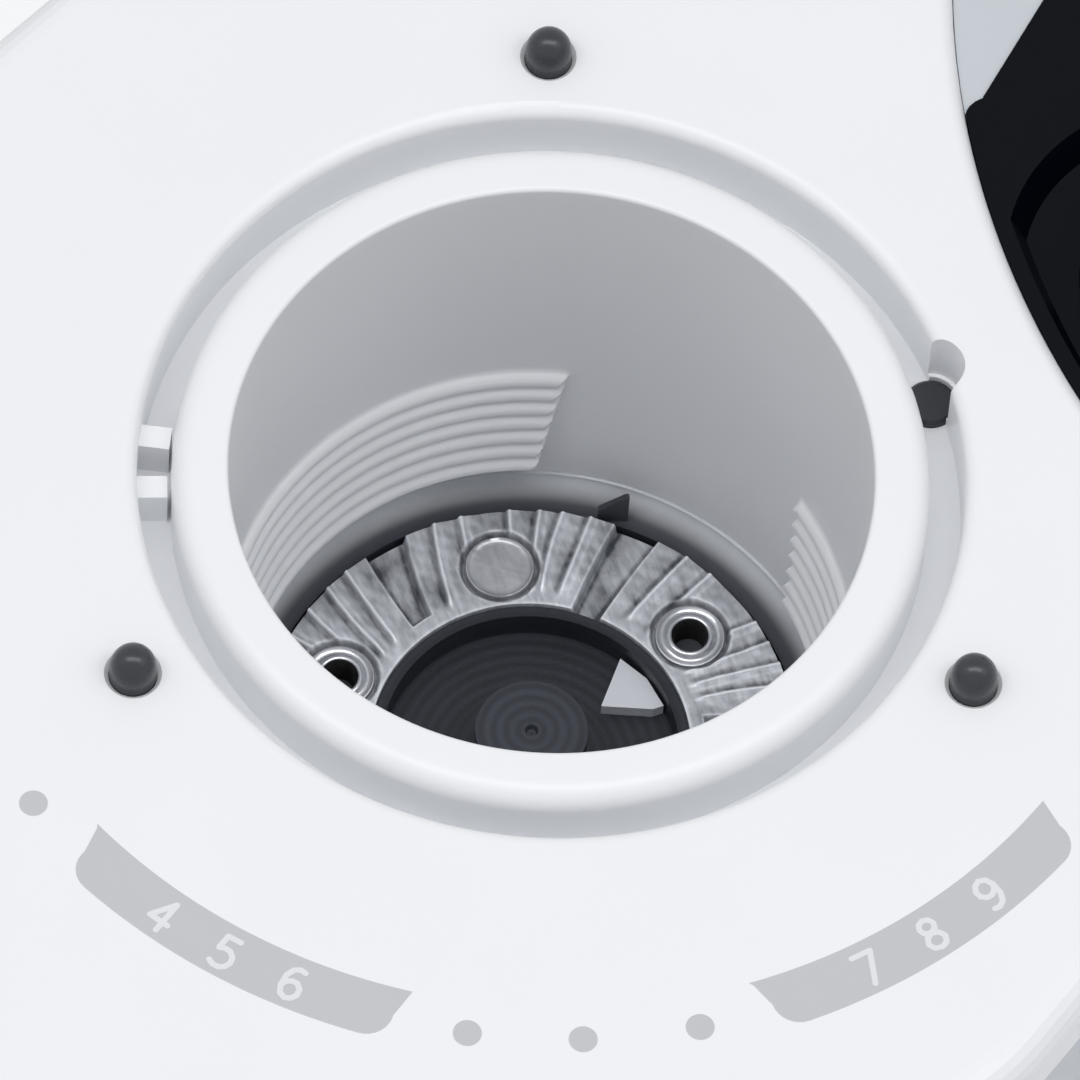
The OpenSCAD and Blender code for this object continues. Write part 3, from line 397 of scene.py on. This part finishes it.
BURR_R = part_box("lower_burr")[1].x / MM
BURR_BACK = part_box("lower_burr")[0].z / MM
BURR_BORE_R = 14.0
TOOTH_H = 0.9
PLATE_TOP = FACE_Z - TOOTH_H
# Ridges as (angle at the outer edge, angle at the bore): those in view, then the pattern repeated round the burr
RIDGES = [(-0.9, 5.4), (-6.9, -5.9), (-17.6, -15.6), (-24.2, -22.0), (-29.2, -25.6), (-35.4, -31.3),
          (-58.3, -56.1), (-64.8, -65.4), (21.7, 28.5), (27.4, 34.4), (34.1, 39.6), (41.6, 45.2), (48.3, 50.4)]
RIDGES += [(-80.0 - 5.6 * i, -77.5 - 5.5 * i) for i in range(4)]
RIDGES += [(c + 8.5 + 5.9 * i, c + 13.2 + 5.7 * i) for c in (74.2, 130.9, 194.2) for i in range(8)]
# Feed pockets as (outer angle, inner angle, outer half width, inner half width, open to the bore)
POCKETS = [(10.9 + 120 * k, 16.6 + 120 * k, 4.95, 3.35, False) for k in range(3)]
POCKETS += [(-45.8 + 120 * k, -42.5 + 120 * k, 4.9, 5.2, True) for k in range(3)]
POCKET_FLOOR = -0.85           # below the plate's top, as the next two
SEAT_FLOOR = -0.40
EYELET_FLOOR = -2.7
RIVET_CIRCLE = 17.9
RIVET_ANGLE = -13.5            # of the first of six; the even ones are flat rivets, the odd ones eyelets
RIVET_R = 3.1


def rivet_place(k):
    return polar(RIVET_CIRCLE, RIVET_ANGLE + 60 * k)


def burr_relief(r, a):
    """Height above the plate's top in millimetres, and wear from -1 to 1, on grids of radius and angle."""
    share = (BURR_R - r) / (BURR_R - BURR_BORE_R)
    x, y = r * np.cos(np.radians(a)), r * np.sin(np.radians(a))
    uneven = waves(x, y, 2)
    height = 0.42 * TOOTH_H + 0.03 * uneven
    wear_and_light = 0.05 * uneven
    run_out = smooth_steps(BURR_BORE_R + 0.6, BURR_BORE_R + 2.4, r)
    for n, (outer, inner) in enumerate(RIDGES):
        # Each ridge climbs slowly to its crest and falls off behind it; off is the distance from the crest. The
        # climb and the crest line are paler, partly from wear and partly as painted highlight; a fainter painted
        # highlight line runs before the crest and a painted shadow lies behind it
        bend = 0.5 * math.sin(n * 2.1) * np.sin(share * math.pi)
        off = angle_between(a, outer + (inner - outer) * share + bend) * r * math.pi / 180
        rise = smooth_steps(-1.7, -0.15, off) * (off < 0.25) * (np.abs(off) < 2.4)
        crest = soft_line(off, 0, 0.17)
        twin = soft_line(off, -0.62, 0.16) * (0.35 + 0.5 * (n % 2))
        drop = soft_line(off, 0.52, 0.24)
        height = height + run_out * TOOTH_H * (0.20 * rise + 0.20 * crest - 0.10 * drop)
        wear_and_light = wear_and_light + run_out * (0.14 * rise + 0.85 * crest + 0.30 * twin - 0.46 * drop)
    # Plain rim round the bore, a little paler, with a painted highlight on its inner edge
    rim = 1 - run_out
    height = height * (1 - rim) + 0.50 * TOOTH_H * rim
    wear_and_light = wear_and_light + 0.22 * rim + 0.5 * soft_line(r - BURR_BORE_R, 0.1, 0.16)
    # Feed pockets: floors painted darker as shade, with a painted highlight along their edge and a painted shadow
    # just inside it
    for outer, inner, half_outer, half_inner, to_bore in POCKETS:
        half = half_outer + (half_inner - half_outer) * share
        into = (half - np.abs(angle_between(a, outer + (inner - outer) * share))) * r * math.pi / 180
        if not to_bore:
            into = np.minimum(into, r - BURR_BORE_R - 1.5)
        inside = smooth_steps(-0.12, 0.22, into)
        floor = POCKET_FLOOR + 0.10 * np.sin(r * 1.1 + outer)
        height = height * (1 - inside) + floor * inside
        wear_and_light = wear_and_light * (1 - inside) - (0.04 + 0.12 * np.sin(x * 0.9 + y * 1.3)) * inside
        wear_and_light = wear_and_light + 0.55 * soft_line(into, -0.10, 0.15) - 0.55 * soft_line(into, 0.42, 0.24)
    # Rivet seats: painted darker as shade, with a painted highlight on their lip; the eyelets' holes are painted
    # near black as shade
    for k in range(6):
        cx, cy = rivet_place(k)
        d = np.hypot(x - cx, y - cy)
        seat = smooth_steps(RIVET_R + 0.50, RIVET_R + 0.15, d)
        height = height * (1 - seat) + SEAT_FLOOR * seat
        wear_and_light = wear_and_light * (1 - seat) - 0.30 * seat + 0.30 * soft_line(d - RIVET_R, 0.60, 0.14)
        if k % 2:
            hole = smooth_steps(1.62, 1.52, d)
            height = height * (1 - hole) + EYELET_FLOOR * hole
            wear_and_light = wear_and_light * (1 - hole) - 1.0 * hole
    return height, np.clip(wear_and_light, -1, 1)


def make_burr():
    """The cast burr: its relief as one grid of points, closed by its outer wall, back and bore, each point with its
    tone of wear and painted light and shade.
    """
    steps, rings, margin = 1800, 76, 0.02
    inner, outer = BURR_BORE_R + margin, BURR_R - margin
    angles = np.arange(steps) * 360 / steps
    radii = inner + (outer - inner) * np.arange(rings + 1) / rings
    height, wear_and_light = burr_relief(*np.meshgrid(radii, angles))
    shoulder, back = PLATE_TOP - 0.9, BURR_BACK + margin
    verts, shade = [], []
    for k, angle in enumerate(angles):
        c, s = polar(1, angle)
        column = [(inner, back), (inner, shoulder), *zip(radii, PLATE_TOP + height[k]),
                  (outer, shoulder), (outer, back)]
        verts += [(r * c, r * s, z) for r, z in column]
        # The walls and the back are painted darker, as shade
        shade += [-0.3, -0.3, *wear_and_light[k].tolist(), -0.2, -0.2]
    piece = new_piece("burr_cast_face", verts, grid_faces(steps, rings + 5), "burr_rotor", CAST, "burr_steel",
                      replaces=["lower_burr"], sharp=55)
    piece.data.attributes.new("wear_and_light", "FLOAT", "POINT").data.foreach_set("value", shade)


# ---------------------------------------------------------------- collar with its interrupted thread

COLLAR_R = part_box("burr_collar")[1].x / MM
BORE_R = 27.2
MOAT_DEPTH = 7.0
THREAD_TOP = -30.5             # above the deck, as the foot
THREAD_FOOT = -44.5
THREAD_RIDGES = 7
THREAD_GAPS = (-53.0, 127.0)   # middle of each plain gap
PAD_END = 25.6                 # from a gap's middle to the pad at its top
PAD_SLANT = 4.6                # by which that end has moved at the pad's foot
PAD_FRAY = 0.45
PAD_RISE = 1.62                # of the pad's face out of the wall, from its top to its foot
RIDGE_RISE = 0.36
PLUNGER_PLACE = polar(34.2, -93.8)
PLUNGER_ROOM = 2.55            # radius of the hollow in the collar's wall


def pad_share(a, level):
    """1 on a thread pad and 0 in a gap; the pads' ends slant and fray a little from ridge to ridge."""
    down = (THREAD_TOP - level) / (THREAD_TOP - THREAD_FOOT)
    fray = PAD_FRAY * math.sin(down * THREAD_RIDGES * 2 * math.pi)
    share = 1.0
    for middle in THREAD_GAPS:
        off = angle_between(a, middle)
        half = PAD_END + PAD_SLANT * down - (fray if off > 0 else -fray)
        share = min(share, smooth_step(half - 0.35, half + 0.35, abs(off)))
    return share


def thread_r(a, level):
    """Radius of the sleeve's inner face at a level from the deck."""
    wall = BORE_R - 0.2 * smooth_step(THREAD_TOP, -47.6, level)
    if not THREAD_FOOT - 0.25 <= level <= THREAD_TOP + 0.2:
        return wall
    down = (THREAD_TOP - level) / (THREAD_TOP - THREAD_FOOT)
    turn = (down * THREAD_RIDGES) % 1.0
    crest = RIDGE_RISE * (smooth_step(0.0, 0.55, turn) - smooth_step(0.72, 1.0, turn))
    cone = wall - 0.22 - PAD_RISE * min(1.0, max(0.0, down)) - crest
    start = smooth_step(THREAD_TOP + 0.2, THREAD_TOP - 0.5, level)
    end = smooth_step(THREAD_FOOT - 0.25, THREAD_FOOT + 0.05, level)
    share = pad_share(a, level) * start * end
    return wall * (1 - share) + cone * share


def make_collar():
    """The collar as one turned profile: outer wall, rolled rim and bore, with the thread pads drawn in."""
    top, bottom = DECK_Z - 0.01, SLEEVE_Z + 0.01
    moat = DECK_Z - MOAT_DEPTH
    wall, rim = COLLAR_R - 0.02, 2.0
    profile = [(COLLAR_R - 1.02, bottom), (COLLAR_R - 1.02, moat - 0.05), (wall, moat)]
    profile += [(wall, moat + 0.3 + 0.5 * i) for i in range(10)]
    profile += arc_points((COLLAR_R - 2.02, top - rim), rim, 0, 90, 12)
    profile += [(COLLAR_R - 2.6, top), (BORE_R + 1.0, top)]
    profile += arc_points((BORE_R + 0.42, top - 0.42), 0.42, 90, 180, 8)
    outer = len(profile)
    levels = [-1.2, -4, -8, -12, -16, -20, -24, -27, -29, -29.9, -30.15]
    span = THREAD_TOP - THREAD_FOOT
    levels += [THREAD_TOP - 0.1 - (span + 0.1) * i / 98 for i in range(99)]
    levels += [THREAD_FOOT - 0.26, -45.2, -46, -47, bottom - DECK_Z]
    profile += [(BORE_R, DECK_Z + level) for level in levels]
    plunger_x, plunger_y = PLUNGER_PLACE

    def shape(r, a, z, i):
        if i >= outer:
            return thread_r(a, z - DECK_Z), z
        if moat - 1 < z and r > 30:
            # Hollow that leaves room for the interlock plunger
            x, y = polar(r, a)
            ux, uy = polar(1, a)
            along = plunger_x * ux + plunger_y * uy
            across = plunger_x * uy - plunger_y * ux
            if math.hypot(x - plunger_x, y - plunger_y) < PLUNGER_ROOM and abs(across) < PLUNGER_ROOM:
                return min(r, along - math.sqrt(PLUNGER_ROOM ** 2 - across ** 2)), z
        return r, z

    lathe("collar_moulding", profile, 1080, shape, body="housing", material=WHITE, slot="white_plastic",
          replaces=["burr_collar"], sharp=50)


# ---------------------------------------------------------------- chamber ring, rivets and eyelets

FIN_ANGLE = -36.9
FIN_LEAN = -74.6               # the blade's direction, from the radius
FIN_LAYERS = (-0.25, -0.17, 0.17, 0.25)    # across the blade; the outer two are a little smaller


def make_chamber_ring():
    """The ring whose face curves up from the burr's edge to the sleeve, painted dark at the burr and pale at the
    sleeve, as shade.
    """
    low, high = FACE_Z - 3.98, SLEEVE_Z - 0.12
    first, foot = BURR_R + 0.42, FACE_Z - 1.4
    profile = [(28.38, high), (28.38, low), (first, low)]
    for i in range(31):
        c, s = polar(1, 3 * i)
        profile.append((first + 2.93 * s, foot + (high - foot) * (1 - c)))

    def shape(r, a, z, i):
        # Outlet under the lip on the nose side
        if i == 2 and abs(angle_between(a, -90)) < 15:
            return r, FACE_Z - 1.75
        return r, z

    lathe("chamber_cove", profile, 720, shape, body="housing", material=CHAMBER_PAINTED_SHADE, slot="dark_plastic",
          replaces=["chamber_ring"], sharp=50)


def make_chamber_fin():
    """The fin that ploughs the grounds off the ring: a thin blade whose top face is painted pale as light falling on
    it.
    """
    side = [(-0.2, 0.0), (2.5, 0.0), (2.5, 4.55), (2.44, 4.68), (2.32, 4.76), (2.18, 4.76), (-0.2, 2.6)]
    turn, lean = math.radians(FIN_ANGLE), math.radians(FIN_LEAN)
    verts = []
    for across in FIN_LAYERS:
        slim = 0.06 if abs(across) > 0.2 else 0.0
        for along, up in side:
            along = min(2.5 - slim, max(-0.2 + slim, along))
            x = BURR_R + 0.6 + along * math.cos(lean) - across * math.sin(lean)
            y = along * math.sin(lean) + across * math.cos(lean)
            verts.append((x * math.cos(turn) - y * math.sin(turn), x * math.sin(turn) + y * math.cos(turn),
                          FACE_Z - 2 + (up - slim if up else up)))
    count = len(side)
    faces = grid_faces(len(FIN_LAYERS), count, wrap_rows=False)
    faces += [tuple(range(count))[::-1], tuple(3 * count + i for i in range(count))]
    fin = new_piece("chamber_fin", verts, faces, "housing", DARK, "dark_plastic", smooth=False)
    # Its upward faces get the paler material, a painted highlight
    fin.data.materials.append(FIN_TOP_LIGHT)
    for face in fin.data.polygons:
        if face.normal.z > 0.5:
            face.material_index = 1


def make_fasteners(name, node, profile, places, material, dent):
    """Turned pieces set in the burr, all from one profile of (r, z) points above the plate's top."""
    steps = 96
    verts, faces = [], []
    for k in places:
        cx, cy = rivet_place(k)
        faces += grid_faces(steps, len(profile), first=len(verts), wrap_columns=profile[0][0] > 0)
        for s in range(steps):
            for r, z in profile:
                x, y = polar(r, 360 * s / steps)
                lift = dent * waves(x * 1.6 + k, y * 1.6, 1.0 + k) / 1.5 if z > -0.3 else 0
                verts.append((cx + x, cy + y, PLATE_TOP + z + lift))
    piece = new_piece(name, verts, faces, "burr_rotor", material, "bright_steel", replaces=[node])
    work = bmesh.new()
    work.from_mesh(piece.data)
    bmesh.ops.remove_doubles(work, verts=work.verts, dist=1e-7)
    bmesh.ops.recalc_face_normals(work, faces=work.faces)
    work.to_mesh(piece.data)
    work.free()
    piece.data.set_sharp_from_angle(angle=math.radians(42))
    return piece


def make_rivets():
    """Three flat rivets and three eyelets with rolled edges, by turns round the burr."""
    flat = [(0.0, 0.26), (0.8, 0.26), (1.6, 0.25), (2.3, 0.22), (2.60, 0.22), (2.74, 0.26), (2.88, 0.37),
            (2.98, 0.36), (3.05, 0.24), (3.08, 0.0), (3.08, -0.55), (1.78, -0.58), (1.78, -5.9), (2.58, -5.92),
            (2.58, -6.38), (0.0, -6.38)]
    make_fasteners("flat_rivets", "burr_rivets", flat, (0, 2, 4), RIVET, 0.02)
    rolled = [(1.32, -6.38), (1.34, -0.9), (1.42, -0.2), (1.52, 0.16), (1.64, 0.36), (1.80, 0.45), (1.96, 0.42),
              (2.10, 0.28), (2.24, 0.10), (2.40, 0.02), (2.60, 0.02), (2.78, 0.12), (2.92, 0.22), (3.02, 0.20),
              (3.08, 0.04), (3.08, -0.55), (1.78, -0.60), (1.78, -5.9), (2.58, -5.92), (2.58, -6.38)]
    eyelets = make_fasteners("rolled_eyelets", "burr_eyelets", rolled, (1, 3, 5), EYELET, 0.0)
    # The tube's inside is painted near black, as shade in the deep hole
    eyelets.data.materials.append(HOLE_SHADE)
    for face in eyelets.data.polygons:
        x, y = face.center.x / MM, face.center.y / MM
        if min(math.hypot(x - cx, y - cy) for cx, cy in map(rivet_place, (1, 3, 5))) < 1.60:
            face.material_index = 1


# ---------------------------------------------------------------- springs

COIL_R = 2.5
WIRE_R = 0.35
COIL_TURNS = 6.5
END_PITCH = 0.74               # of the closed first and last turn


def box_centre(node):
    low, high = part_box(node)
    return (low.x + high.x) / 2 / MM, (low.y + high.y) / 2 / MM


def make_springs():
    """A wire coil with closed ends under each detent pin."""
    steps, sides = 28, 10
    rows = int(steps * COIL_TURNS) + 1
    for side in ("rear", "left", "right"):
        node, joint = f"detent_spring_{side}", f"pin_{side}_press"
        low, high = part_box(node)
        cx, cy = box_centre(f"detent_pin_{side}")
        length = (high.z - low.z) / MM
        rise = length - 2 * WIRE_R
        verts = []
        for i in range(rows):
            z = np.interp(i / steps, (0, 1, COIL_TURNS - 1, COIL_TURNS), (0, END_PITCH, rise - END_PITCH, rise))
            for j in range(sides):
                out, up = polar(WIRE_R, 360 * j / sides)
                x, y = polar(COIL_R + out, 360 * i / steps)
                verts.append((cx + x, cy + y, low.z / MM + WIRE_R + z + up))
        faces = grid_faces(rows, sides, wrap_rows=False, flip=True)
        faces += [tuple(range(sides)), tuple((rows - 1) * sides + j for j in reversed(range(sides)))]
        piece = new_piece(f"spring_coil_{side}", verts, faces, "housing", WIRE, "spring_steel", replaces=[node])
        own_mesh(piece)


# ---------------------------------------------------------------- print on the deck and the dial

PRINT_RISE = 0.020             # of the print above the deck
NUMBER_RISE = 0.034
LAYER_STEP = 0.0006            # keeps overlapping strokes out of one plane
SCALE_BLOCKS = ((127.8, "456"), (-166.5, "789"), (62.1, "123"))    # direction of each middle, and its digits
BLOCK_HALF = 17.25             # half of a block's angle
BLOCK_INNER, BLOCK_OUTER = 51.3, 56.2
BLOCK_CORNER = 2.4
DOT_ANGLES = (150.4, 160.5, 170.8, 105.3)
DOT_CIRCLE, DOT_R = 54.2, 1.2
DIGIT_CIRCLE = 53.9
DIGIT_PITCH = 6.6
DIGIT_H = 2.9
STROKE = 0.50
MARK_ANGLE = 225               # of the dial's line at its start
MARK_FROM, MARK_TO, MARK_HALF = 2.6, 7.3, 0.45


def slab(name, outlines, top, thickness, material, body="housing"):
    """Thin raised film from closed outlines in the plane; each lies a hair above the one before."""
    work = bmesh.new()
    for n, outline in enumerate(outlines):
        level = top + LAYER_STEP * (n % 40)
        high = [work.verts.new((x * MM, y * MM, level * MM)) for x, y in outline]
        low = [work.verts.new((x * MM, y * MM, (level - thickness) * MM)) for x, y in outline]
        work.faces.new(high)
        work.faces.new(low[::-1])
        for i in range(len(outline)):
            j = (i + 1) % len(outline)
            work.faces.new((high[i], low[i], low[j], high[j]))
    bmesh.ops.recalc_face_normals(work, faces=work.faces)
    bmesh.ops.triangulate(work, faces=[f for f in work.faces if len(f.verts) > 4])
    mesh = bpy.data.meshes.new(name)
    work.to_mesh(mesh)
    work.free()
    piece = place_object(name, mesh, material)
    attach(piece, body)


def block_outline(centre):
    """A curved block with pointed inner ends and rounded outer corners, as (x, y) points."""
    turn = math.degrees(BLOCK_CORNER / BLOCK_OUTER)
    reach = BLOCK_HALF - 1.3

    def end_point(t):
        return BLOCK_INNER + (BLOCK_OUTER - BLOCK_INNER - BLOCK_CORNER) * t, BLOCK_HALF - 0.2 - 1.1 * t

    def corner_point(degrees):
        c, s = polar(1, degrees)
        return BLOCK_OUTER - BLOCK_CORNER * (1 - s), reach - turn * (1 - c)

    places = [(BLOCK_INNER, BLOCK_HALF * (i / 24 - 1)) for i in range(49)]
    places += [end_point(i / 8) for i in range(9)]
    places += [corner_point(90 * i / 8) for i in range(1, 9)]
    places += [(BLOCK_OUTER, (reach - turn) * (1 - i / 24)) for i in range(1, 48)]
    places += [(r, -off) for r, off in (corner_point(90 - 90 * i / 8) for i in range(9))]
    places += [(r, -off) for r, off in (end_point(1 - i / 8) for i in range(1, 8))]
    return [polar(r, centre + off) for r, off in places]


# Strokes of the plain digits in a box 0.62 wide and 1 high
DIGITS = {
    "1": [[(0.12, 0.80), (0.34, 1.0), (0.34, 0.0)]],
    "2": [[(0.02, 0.78), (0.08, 0.93), (0.22, 1.0), (0.40, 1.0), (0.54, 0.92), (0.58, 0.76), (0.52, 0.58),
           (0.02, 0.0), (0.60, 0.0)]],
    "3": [[(0.04, 0.92), (0.20, 1.0), (0.40, 1.0), (0.54, 0.90), (0.56, 0.74), (0.46, 0.58), (0.26, 0.53)],
          [(0.26, 0.53), (0.48, 0.47), (0.60, 0.32), (0.56, 0.12), (0.40, 0.0), (0.20, 0.0), (0.02, 0.08)]],
    "4": [[(0.44, 0.0), (0.44, 1.0), (0.0, 0.30), (0.62, 0.30)]],
    "5": [[(0.54, 1.0), (0.12, 1.0), (0.07, 0.56), (0.24, 0.62), (0.42, 0.60), (0.57, 0.46), (0.60, 0.28),
           (0.52, 0.10), (0.36, 0.0), (0.18, 0.0), (0.02, 0.08)]],
    "6": [[(0.52, 0.96), (0.36, 1.0), (0.18, 0.92), (0.05, 0.70), (0.02, 0.34), (0.10, 0.10), (0.28, 0.0),
           (0.46, 0.06), (0.58, 0.22), (0.57, 0.42), (0.44, 0.56), (0.28, 0.58), (0.12, 0.50), (0.03, 0.36)]],
    "7": [[(0.0, 1.0), (0.60, 1.0), (0.22, 0.0)]],
    "8": [[(0.30, 0.54), (0.12, 0.62), (0.06, 0.78), (0.14, 0.94), (0.30, 1.0), (0.46, 0.94), (0.54, 0.78),
           (0.48, 0.62), (0.30, 0.54), (0.10, 0.44), (0.01, 0.26), (0.10, 0.07), (0.30, 0.0), (0.50, 0.07),
           (0.59, 0.26), (0.50, 0.44), (0.30, 0.54)]],
    "9": [[(0.08, 0.04), (0.24, 0.0), (0.42, 0.08), (0.55, 0.30), (0.58, 0.66), (0.50, 0.90), (0.32, 1.0),
           (0.14, 0.94), (0.02, 0.78), (0.03, 0.58), (0.16, 0.44), (0.32, 0.42), (0.48, 0.50), (0.57, 0.64)]],
}


def stroke_outline(start, end):
    """A straight stroke with round ends, as (x, y) points."""
    length = math.dist(start, end)
    ux, uy = (end[0] - start[0]) / length, (end[1] - start[1]) / length
    points = []
    for (x, y), first in ((end, -90), (start, 90)):
        for i in range(7):
            c, s = polar(STROKE / 2, first + 180 * i / 6)
            points.append((x + ux * c - uy * s, y + uy * c + ux * s))
    return points


def digit_outlines(digit, angle):
    """Outlines of a digit's strokes, with its foot towards the deck's rim."""
    out_x, out_y = polar(1, angle)
    outlines = []
    for stroke in DIGITS[digit]:
        places = []
        for u, v in stroke:
            across, r = (u - 0.31) * DIGIT_H, DIGIT_CIRCLE + (0.5 - v) * DIGIT_H
            places.append((r * out_x - across * out_y, r * out_y + across * out_x))
        outlines += [stroke_outline(*pair) for pair in zip(places, places[1:])]
    return outlines


def make_print():
    """The scale: grey blocks and dots on the deck, with paler digits on the blocks."""
    blocks = [block_outline(centre) for centre, _ in SCALE_BLOCKS]
    slab("scale_blocks", blocks, DECK_Z + PRINT_RISE, 0.035, PRINT)
    dots = []
    for angle in DOT_ANGLES:
        cx, cy = polar(DOT_CIRCLE, angle)
        ring = [polar(DOT_R, 10 * t) for t in range(36)]
        dots.append([(cx + x, cy + y) for x, y in ring])
    slab("scale_dots", dots, DECK_Z + PRINT_RISE, 0.035, PRINT)
    digits = []
    for centre, marks in SCALE_BLOCKS:
        for i, mark in enumerate(marks):
            digits += digit_outlines(mark, centre + (i - 1) * DIGIT_PITCH)
    slab("scale_numbers", digits, DECK_Z + NUMBER_RISE, 0.02, PRINT_LIGHT)


def make_dial_mark():
    """A pale line on the dial's flat top, at the lower left when the dial is at its start."""
    cx, cy = box_centre("timer_dial")
    ux, uy = polar(1, MARK_ANGLE)
    corners = ((MARK_FROM, -MARK_HALF), (MARK_TO, -MARK_HALF), (MARK_TO, MARK_HALF), (MARK_FROM, MARK_HALF))
    line = [(cx + r * ux - half * uy, cy + r * uy + half * ux) for r, half in corners]
    slab("dial_mark", [line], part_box("timer_dial")[1].z / MM + 0.008, 0.02, PRINT_LIGHT,
         body="dial")


make_burr()
make_collar()
make_chamber_ring()
make_chamber_fin()
make_rivets()
make_springs()
make_print()
make_dial_mark()

for node in NODES.values():
    if not node.hide_render:
        node.data.set_sharp_from_angle(angle=math.radians(32))


# ---------------------------------------------------------------- stage and light

FLOOR_HALF = 4.0               # metres, as the lamps' distances and sizes
FLOOR_LIFT = 0.18


def make_stage():
    """A plain pale floor; seen directly it is a little whiter, and it keeps the object's shadow."""
    mesh = bpy.data.meshes.new("floor")
    corners = [(x * FLOOR_HALF, y * FLOOR_HALF, 0) for x, y in ((-1, -1), (1, -1), (1, 1), (-1, 1))]
    mesh.from_pydata(corners, [], [(0, 1, 2, 3)])
    material, tree, shader = new_material("floor_white")
    shader.inputs["Base Color"].default_value = (0.93, 0.93, 0.935, 1)
    shader.inputs["Roughness"].default_value = 0.9
    shader.inputs["Specular IOR Level"].default_value = 0.1
    grain = add_node(tree, "TexNoise", values={"Scale": 60})
    bump = add_node(tree, "Bump", values={"Strength": 0.02}, links={"Height": grain.outputs["Fac"]})
    tree.links.new(bump.outputs["Normal"], shader.inputs["Normal"])
    path = add_node(tree, "LightPath").outputs
    seen = join_values(tree, "MAXIMUM", path["Is Camera Ray"], path["Is Glossy Ray"])
    lift = add_node(tree, "Math", {"operation": "MULTIPLY"}, {1: FLOOR_LIFT}, {0: seen})
    shader.inputs["Emission Color"].default_value = (1, 1, 1, 1)
    tree.links.new(lift.outputs["Value"], shader.inputs["Emission Strength"])
    place_object("floor", mesh, material)


def area_light(name, azimuth, elevation, distance, size, power):
    """A soft square lamp that looks at the collar's mouth from a direction in degrees."""
    data = bpy.data.lights.new(name, "AREA")
    data.shape = "SQUARE"
    data.size = size
    data.energy = power
    lamp = bpy.data.objects.new(name, data)
    level, up = polar(1, elevation)
    away = Vector((*polar(level, azimuth), up))
    lamp.location = Vector((0, 0, DECK_Z * MM)) + away * distance
    lamp.rotation_euler = (-away).to_track_quat("-Z", "Y").to_euler()
    bpy.context.scene.collection.objects.link(lamp)
    return lamp


def make_light():
    """Plain studio light: a soft world that is seen as white, a strip overhead and two weak side lamps."""
    world = bpy.data.worlds.new("studio")
    world.use_nodes = True
    tree = world.node_tree
    sky = tree.nodes["Background"]
    sky.inputs["Color"].default_value = (0.965, 0.98, 1.0, 1)
    sky.inputs["Strength"].default_value = 0.43
    white = add_node(tree, "Background", values={"Color": (1, 1, 1, 1), "Strength": 1.0})
    path = add_node(tree, "LightPath").outputs
    direct = join_values(tree, "MAXIMUM", path["Is Camera Ray"], path["Is Transmission Ray"])
    seen = join_values(tree, "MAXIMUM", direct, path["Is Glossy Ray"])
    mix = add_node(tree, "MixShader", links={"Fac": seen, 1: sky.outputs["Background"],
                                             2: white.outputs["Background"]})
    tree.links.new(mix.outputs["Shader"], tree.nodes["World Output"].inputs["Surface"])
    bpy.context.scene.world = world
    strip = area_light("overhead_strip", azimuth=154, elevation=82, distance=1.15, size=1.8, power=8.2)
    strip.data.shape = "RECTANGLE"
    strip.data.size_y = 0.35
    strip.rotation_euler = (0, 0, math.radians(64))
    area_light("side_right", azimuth=240, elevation=40, distance=1.5, size=0.9, power=1.6)
    area_light("side_left", azimuth=68, elevation=40, distance=1.5, size=0.9, power=1.0)


make_stage()
make_light()
bpy.context.scene.view_settings.view_transform = "Standard"
